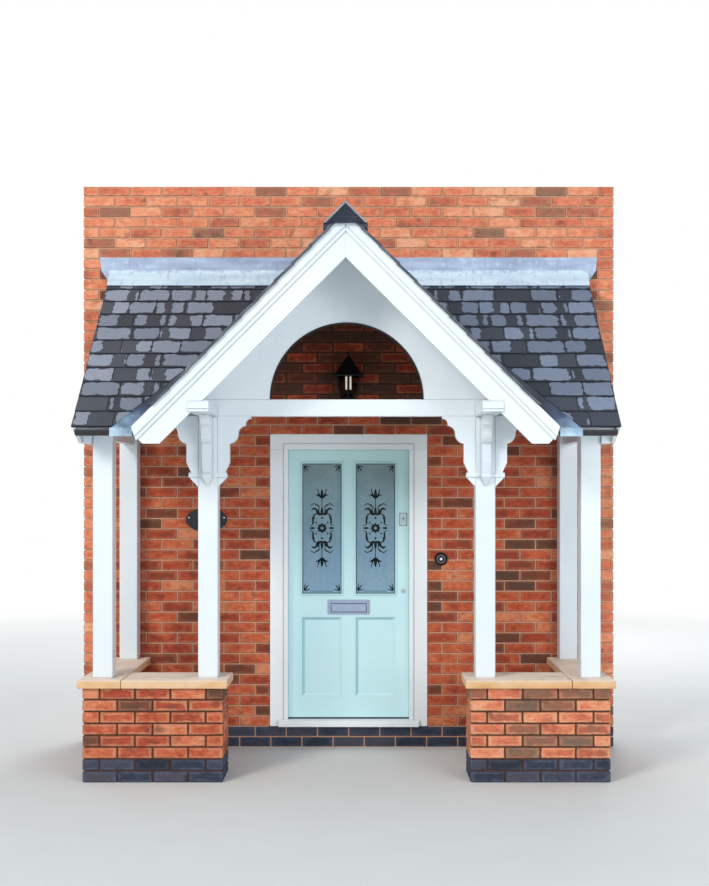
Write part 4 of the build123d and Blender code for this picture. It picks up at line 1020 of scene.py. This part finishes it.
def dressed(node, material, ease=0.002, second=None, takes_second=None, split_y=None):
    """A CAD piece with its arrises eased, cut at split_y where its finish changes."""
    mesh = cad_copy(node)
    sharp = [edge for edge in mesh.edges if edge.calc_face_angle(0) > math.radians(28)]
    bmesh.ops.bevel(
        mesh, geom=sharp, offset=ease, segments=2, profile=0.5, affect="EDGES", clamp_overlap=True)
    if split_y is not None:
        sliced(mesh, (0, split_y, 0), (0, 1, 0))
    finished(mesh, node, material, second, takes_second)


def dented(node, material, swell, size, seed, direction, stand_off=1.5):
    """A sheet of lead: the CAD piece cut into a grid and dressed by hand into shallow waves."""
    mesh = cad_copy(node)
    low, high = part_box(node)
    for axis in range(3):
        reach = high[axis] - low[axis]
        normal = Vector([float(k == axis) for k in range(3)])
        for k in range(1, int(reach / LEAD_STEP)):
            sliced(mesh, low + normal * LEAD_STEP * k, normal)
    for vertex in mesh.verts:
        wave = smoothly_noisy(vertex.co, size, seed) + 0.4 * smoothly_noisy(vertex.co, size / 3, seed + 3)
        vertex.co += Vector(direction) * (swell * (wave + stand_off))
    for face in mesh.faces:
        face.smooth = True
    finished(mesh, node, material).data.set_sharp_from_angle(angle=math.radians(35))


def smooth_line(points, steps=7):
    """Points along a smooth line through a few given ones."""
    ends = [points[0], *points, points[-1]]
    line = []
    for k in range(len(points) - 1):
        a, b, c, d = (np.array(point, float) for point in ends[k:k + 4])
        for step in range(steps):
            t = step / steps
            line.append((2 * b + (c - a) * t + (2 * a - 5 * b + 4 * c - d) * t ** 2
                         + (3 * b - a - 3 * c + d) * t ** 3) / 2)
    line.append(np.array(points[-1], float))
    return line


EVERY_QUARTER = ((1, 1), (-1, 1), (1, -1), (-1, -1))
LEFT_AND_RIGHT = ((1, 1), (-1, 1))
ABOVE_AND_BELOW = ((1, 1), (1, -1))
FOOT_ALONE = ((1, -1),)

# Strokes of the ornament: points in millimetres from the pane's middle, and width at start, middle and end
STROKES = (
    (LEFT_AND_RIGHT, ((50, 0), (70, 0), (88, 0)), (1, 32, 1)),
    (ABOVE_AND_BELOW, ((0, 65), (0, 74), (0, 83)), (4, 24, 4)),
    (EVERY_QUARTER, ((41, 31), (42, 39), (41, 49)), (2, 17, 2)),
    (EVERY_QUARTER, ((58, 64), (57, 72), (53, 81)), (1, 13, 1)),
    (EVERY_QUARTER, ((22, 106), (48, 102), (62, 84), (66, 60), (64, 34)), (2, 18, 12)),
    (EVERY_QUARTER, ((64, 42), (70, 25), (90, 16)), (9, 9, 1)),
    (ABOVE_AND_BELOW, ((0, 94), (0, 120), (0, 152)), (9, 38, 2)),
    (EVERY_QUARTER, ((6, 96), (20, 108), (25, 126), (19, 148)), (7, 22, 1)),
    (EVERY_QUARTER, ((10, 95), (30, 102), (39, 118), (41, 134)), (7, 16, 1)),
    (EVERY_QUARTER, ((24, 110), (42, 134), (60, 142), (77, 130)), (7, 26, 2)),
    (EVERY_QUARTER, ((18, 142), (36, 165), (60, 177), (84, 160)), (2, 13, 2)),
    (EVERY_QUARTER, ((12, 146), (26, 165), (44, 173)), (1, 9, 1)),
    (ABOVE_AND_BELOW, ((0, 146), (0, 182), (0, 218)), (6, 5, 6)),
    (ABOVE_AND_BELOW, ((0, 214), (0, 246), (0, 284)), (12, 40, 1)),
    (EVERY_QUARTER, ((5, 222), (20, 238), (26, 268)), (9, 22, 1)),
    (EVERY_QUARTER, ((5, 219), (25, 238), (48, 242)), (7, 20, 1)),
    (EVERY_QUARTER, ((26, 262), (30, 273), (31, 286)), (2, 13, 1)),
    (EVERY_QUARTER, ((129, 453), (112, 431), (98, 412)), (8, 15, 1)),
    (EVERY_QUARTER, ((130, 450), (127, 428), (119, 402)), (5, 12, 1)),
    (EVERY_QUARTER, ((127, 455), (106, 449), (84, 444)), (5, 12, 1)),
    (FOOT_ALONE, ((-80, 458), (0, 458), (80, 458)), (3.2, 3.2, 3.2)))


def etched_pane(name, centre_x, centre_z, front):
    """A rosette in a scrolled frame, with a tulip, sprays and a palmette above and below, and corner fans."""
    shape = Shape()

    def stroke(flips, points, widths):
        """A clear stroke in the frosting, drawn once for each pair of signs."""
        line = smooth_line(points)
        last = len(line) - 1
        start, swell, end = widths
        for across, up in flips:
            rings = []
            for k, here in enumerate(line):
                t = k / last
                width = start * (1 - t) ** 2 + 2 * swell * t * (1 - t) + end * t ** 2
                way = line[min(last, k + 1)] - line[max(0, k - 1)]
                side = np.array((-way[1], way[0])) / np.hypot(*way) * width / 2
                rings.append([
                    (centre_x + across * x / 1000, y, centre_z + up * z / 1000)
                    for (x, z), y in ((here + side, front), (here - side, front),
                                      (here - side, front + PANE_SINK), (here + side, front + PANE_SINK))])
            add_tube(shape, rings, across * up > 0)

    for k in range(8):
        turn = math.radians(45 * k)
        petal = np.array((math.cos(turn), math.sin(turn)))
        sepal = np.array((math.cos(turn + 0.39), math.sin(turn + 0.39)))
        stroke(((1, 1),), (petal * 10, petal * 23, petal * 40), (6, 24, 1))
        stroke(((1, 1),), (sepal * 15, sepal * 32), (6, 14, 2))
    for flips, points, widths in STROKES:
        stroke(flips, points, widths)
    shape.piece(name, [bare_glass], "frosted_glass", "front_door")


def panes():
    """The ornament etched in the two panes of the door, and the dark rubber round them."""
    low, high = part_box("door_glass")
    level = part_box("letter_plate")[0].z + PANE_MIDDLE_RISE
    rubber = Shape()
    for side, sign in (("left", -1), ("right", 1)):
        etched_pane(f"etching_{side}", sign * PANE_MIDDLE_X, level, low.y - PANE_PROUD)
        a, b = sorted((sign * high.x, sign * (2 * PANE_MIDDLE_X - high.x)))
        add_border(rubber, (a, low.y - GASKET_PROUD, low.z), (b, low.y + SEAT, high.z), GASKET_WIDTH)
    rubber.piece("glazing_gaskets", [gasket], "gutter_plastic", "front_door")


def lock_and_letter_slot():
    """The lock's gasket and button, and the rubber lips inside the leaf that close the letter slot."""
    leaf_low, leaf_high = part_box("door_leaf")
    front, back = leaf_low.y + LEAF_MOULDING, leaf_high.y - LEAF_MOULDING
    low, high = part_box("door_furniture")
    lock_foot, m = high.z - LOCK_HEIGHT, LOCK_GASKET
    trim = Shape()
    add_box(trim, (low.x - m, front - GASKET_PROUD, lock_foot - m), (high.x + m, front + SEAT, high.z + m))
    centre = ((low.x + high.x) / 2, low.y, (lock_foot + high.z) / 2 + LOCK_BUTTON_RISE)
    add_turned(trim, centre, (0, -1, 0), LOCK_BUTTON, 16)
    trim.piece("lock_trim", [black_metal], "black_metal", "front_door")

    low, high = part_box("letter_plate")
    lip_y, middle = back + LIP_STAND_OFF, (low.z + high.z) / 2
    lips, holder = Shape(), Shape()
    for foot, top in ((low.z + LIP_INSET, middle - LIP_GAP / 2), (middle + LIP_GAP / 2, high.z - LIP_INSET)):
        add_box(lips, (low.x + LIP_INSET, lip_y, foot), (high.x - LIP_INSET, lip_y + LIP_THICKNESS, top))
    lips.piece("letter_slot_lips", [black_strip], "black_metal", "front_door")
    behind = lip_y + HOLDER_PROUD
    add_border(holder, (low.x, back - HOLDER_LAP, low.z), (high.x, behind, high.z), HOLDER_WIDTH)
    holder.piece("letter_slot_holder", [satin], "satin_metal", "front_door")


def arch_shade_strip():
    """The dark strip of painted shade that lines the round-headed opening."""
    low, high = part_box("arch_panel")
    front, back = low.y - SHADE_STRIP_PROUD, high.y + SHADE_STRIP_PROUD
    near, far = ARCH_RADIUS - SHADE_STRIP_WIDTH, ARCH_RADIUS + SHADE_STRIP_LAP
    shape, rings = Shape(), []
    for k in range(ARCH_STEPS + 1):
        turn = math.pi * k / ARCH_STEPS
        rings.append([(radius * math.cos(turn), y, tie_top + radius * math.sin(turn))
                      for radius, y in ((near, front), (far, front), (far, back), (near, back))])
    # Painted shade: a black strip for the shadowed reveal of the opening
    add_tube(shape, rings)
    shape.piece("arch_shade_strip", [black_strip], "black_metal", smooth=True)


def turned(name, material, slot, profile, places, axis=(0, -1, 0)):
    """A piece that is the same turned solid at each place."""
    shape = Shape()
    for place in places:
        add_turned(shape, place, axis, profile)
    shape.piece(name, [material], slot, smooth=True)


def small_fittings():
    """Lamp tubes, plaque screws, the bell's button and rings, and the black strip under the door, a draught
    strip that also paints the shade of its gap.
    """
    low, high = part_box("lantern_glass")
    y = (low.y + high.y) / 2
    turned("lamp_tubes", lamp_tube, "clear_glass", LAMP_TUBE,
           [(x, y, high.z) for x in (-LAMP_SPREAD, LAMP_SPREAD)], (0, 0, -1))
    low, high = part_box("name_plaque")
    z = (low.z + high.z) / 2 + SCREW_RISE
    turned("plaque_screws", bright_metal, "satin_metal", SCREW,
           [(x, low.y + SEAT, z) for x in (low.x + SCREW_INSET, high.x - SCREW_INSET)])
    low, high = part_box("bell_push")
    x, z = (low.x + high.x) / 2, (low.z + high.z) / 2
    turned("bell_button", button_white, "white_timber", BELL_BUTTON, [(x, low.y, z)])
    turned("bell_ring", ring_metal, "satin_metal", BELL_RING, [(x, low.y + BELL_DISH, z)])
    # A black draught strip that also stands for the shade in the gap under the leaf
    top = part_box("door_threshold")[1].z
    low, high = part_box("door_leaf")
    strip = Shape()
    add_box(strip, (low.x, low.y + STRIP_FRONT, top + STRIP_FOOT),
            (high.x, high.y - STRIP_BACK, top + STRIP_TOP))
    strip.piece("draught_strip_and_gap_shade", [black_strip], "black_metal")


def corbel_neckings():
    """The moulding across each inner post and its side corbels, on both sides of the front corbel."""
    shape = Shape()
    profile = ((SEAT, 0.0), (-NECKING_PROUD, 0.0), (-NECKING_PROUD, NECKING_FILLET), (SEAT, NECKING_HEIGHT))
    for side in ("left", "right"):
        low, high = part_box(f"inner_post_{side}")
        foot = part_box(f"corbels_{side}")[0].z + NECKING_RISE
        middle, reach = (low.x + high.x) / 2, (high.x - low.x) / 2 + EAR_REACH
        for sign in (-1, 1):
            rings = [[(middle + sign * x, low.y + y, foot + z) for y, z in profile]
                     for x in (FRONT_CORBEL_HALF, reach)]
            add_tube(shape, rings, sign < 0)
    shape.piece("corbel_neckings", [white_paint], "white_timber")


def arm_ends():
    """A raised plate and a fillet on the front end of each arm."""
    low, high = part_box("front_arms")
    post_low, post_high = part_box("inner_post_right")
    shape = Shape()
    for sign in (-1, 1):
        a, b = sorted((sign * high.x, sign * (high.x - (post_high.x - post_low.x))))
        for proud, foot, top in (
                (FILLET_PROUD, low.z, low.z + FILLET_HEIGHT),
                (FILLET_PROUD / 2, low.z + PLATE_FOOT, high.z - PLATE_DROP)):
            add_box(shape, (a, low.y - proud, foot), (b, low.y + SEAT, top))
    shape.piece("arm_ends", [white_paint], "white_timber")


def ridge_end_rim():
    """The pale edge of the ridge tile round its closed end."""
    low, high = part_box("ridge_cap")
    drop = RIM_WIDTH * math.sqrt(2)
    shape = Shape()
    for sign in (-1, 1):
        outline = ((0, high.z), (0, high.z - drop), (sign * (high.x - drop), low.z), (sign * high.x, low.z))
        rings = [[(x, y, z) for x, z in outline] for y in (low.y - RIM_PROUD, low.y + SEAT)]
        add_tube(shape, rings, sign > 0)
    shape.piece("ridge_end_rim", [ridge_rim], "slate")


def camera():
    """The photograph's camera."""
    made = bpy.data.objects.new("camera", bpy.data.cameras.new("camera"))
    bpy.context.scene.collection.objects.link(made)
    made.location = CAMERA_PLACE
    made.rotation_euler = (math.radians(90), 0, 0)
    made.data.sensor_width = SENSOR
    made.data.lens = FOCAL_PIXELS / IMAGE_HEIGHT * SENSOR
    made.data.shift_x = (IMAGE_WIDTH / 2 - VANISHING_X) / IMAGE_HEIGHT
    made.data.shift_y = (VANISHING_Y - IMAGE_HEIGHT / 2) / IMAGE_HEIGHT
    made.data.clip_end = 200
    bpy.context.scene.camera = made


def pale_floor():
    """A pale floor that fades to white far from the object, for the camera alone."""
    bpy.ops.mesh.primitive_plane_add(size=60, location=(0, 0, 0))
    floor = bpy.context.object
    floor.name = "floor"
    ground = Finish("floor_pale", specular_ior_level=0.1)
    cloudy = ground.mix(ground.noise(3, 3), (236, 234, 230), (230, 228, 224))
    floor.data.materials.append(ground.dress(cloudy, 0.9))
    distance = ground.field("VectorMath", {0: ground.where()}, "Value", operation="LENGTH")
    faded = distance.range(*FLOOR_FADES) * ground.field("LightPath", output="Is Camera Ray")
    lit = Field(ground, ground.shader.outputs[0])
    white = ground.field("Emission", {"Color": WHITE, "Strength": 1.0})
    ground.put(ground.tree.nodes["Material Output"].inputs["Surface"],
               ground.field("MixShader", {0: faded, 1: lit, 2: white}))


def light():
    """Soft lamps and sky at a plain level, and a white backdrop that gloss and glass show too."""
    for name, (place, size, power, tone) in LAMPS.items():
        lamp = bpy.data.objects.new(name, bpy.data.lights.new(name, "AREA"))
        bpy.context.scene.collection.objects.link(lamp)
        lamp.data.size = size
        lamp.data.energy = power
        lamp.data.color = tone
        lamp.location = place
        lamp.rotation_euler = (LAMP_AIM - lamp.location).to_track_quat("-Z", "Y").to_euler()
    world = bpy.data.worlds.new("studio")
    bpy.context.scene.world = world
    world.use_nodes = True
    world.node_tree.nodes.clear()
    sky = Nodes(world.node_tree)
    camera_ray, glossy_ray, through_ray = (
        sky.field("LightPath", output=f"Is {kind} Ray") for kind in ("Camera", "Glossy", "Transmission"))
    shown = sky.field("MixShader", {
        0: camera_ray.larger(glossy_ray.larger(through_ray)),
        1: sky.field("Background", {"Color": SKY_COLOUR, "Strength": SKY_STRENGTH}),
        2: sky.field("Background", {"Color": WHITE, "Strength": 1.0})})
    sky.node("OutputWorld", {"Surface": shown})
    bpy.context.scene.view_settings.view_transform = "Standard"


def inside_ceiling(centre, normal):
    """The faces under the roof over the porch itself, behind the gable panel."""
    return normal.z < -0.3 and centre.y > panel_back


def shaded_moulding(centre, normal):
    """The sides of the leaf's mouldings that face right or down, which take a painted shade."""
    return abs(normal.y) < 0.97 and normal.x - normal.z > 0.25


def edge_of_plate(centre, normal):
    """The faces that don't look out from the door, which take a painted shade."""
    return abs(normal.y) < 0.5


house_wall()
panel_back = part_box("arch_panel")[1].y
for side, sign in (("left", -1), ("right", 1)):
    dwarf_wall(side, sign)
    gable_slates(side, sign)
    lean_to_slates(side, sign)
    dented(f"valley_lead_{side}", valley_lead, 0.002, 0.16, 5 + sign, (0, 0, 1))
    dressed(f"coping_{side}", stone, 0.004)
    for node in ("outer_post", "wall_post", "barge_board", "barge_moulding"):
        dressed(f"{node}_{side}", white_paint)
    for node in ("inner_post", "corbels"):
        dressed(f"{node}_{side}", white_paint, 0.001)
    for node in ("gable_deck", "lean_to_deck"):
        dressed(f"{node}_{side}", white_paint, 0.002,
                ceiling_boards, inside_ceiling, panel_back)
    dressed(f"door_jamb_{side}", frame_paint)
dented("flashing", lead, 0.003, 0.2, 9, (0, -1, 0.2), 3.2)
dressed("tie_beam", white_paint, 0.004)
for node in ("arch_panel", "front_arms", "eaves_beams", "side_beams", "verge_boards", "eaves_boxes"):
    dressed(node, white_paint)
for node in ("door_head", "door_threshold"):
    dressed(node, frame_paint)
dressed("ridge_tiles", ridge, 0.003)
dressed("ridge_cap", ridge_end, 0.002)
dressed("gutters", gutter_plastic, 0.0008)
dressed("door_leaf", door_paint, 0.002, door_shade, shaded_moulding)
dressed("door_glass", frosted, 0.0005)
for node in ("leaf_hinges", "frame_hinges"):
    dressed(node, satin, 0.0008)
for node in ("letter_plate", "letter_flap"):
    dressed(node, plate_metal, 0.0008, shaded_metal, edge_of_plate)
dressed("door_furniture", lock_metal, 0.0008, shaded_metal, edge_of_plate)
dressed("lantern", black_metal, 0.001)
dressed("bell_push", bell_metal, 0.001)
dressed("lantern_glass", lantern_pane, 0.0003)
dressed("name_plaque", plaque_slate, 0.0015)
panes()
lock_and_letter_slot()
arch_shade_strip()
ridge_end_rim()
corbel_neckings()
arm_ends()
small_fittings()
camera()
pale_floor()
light()
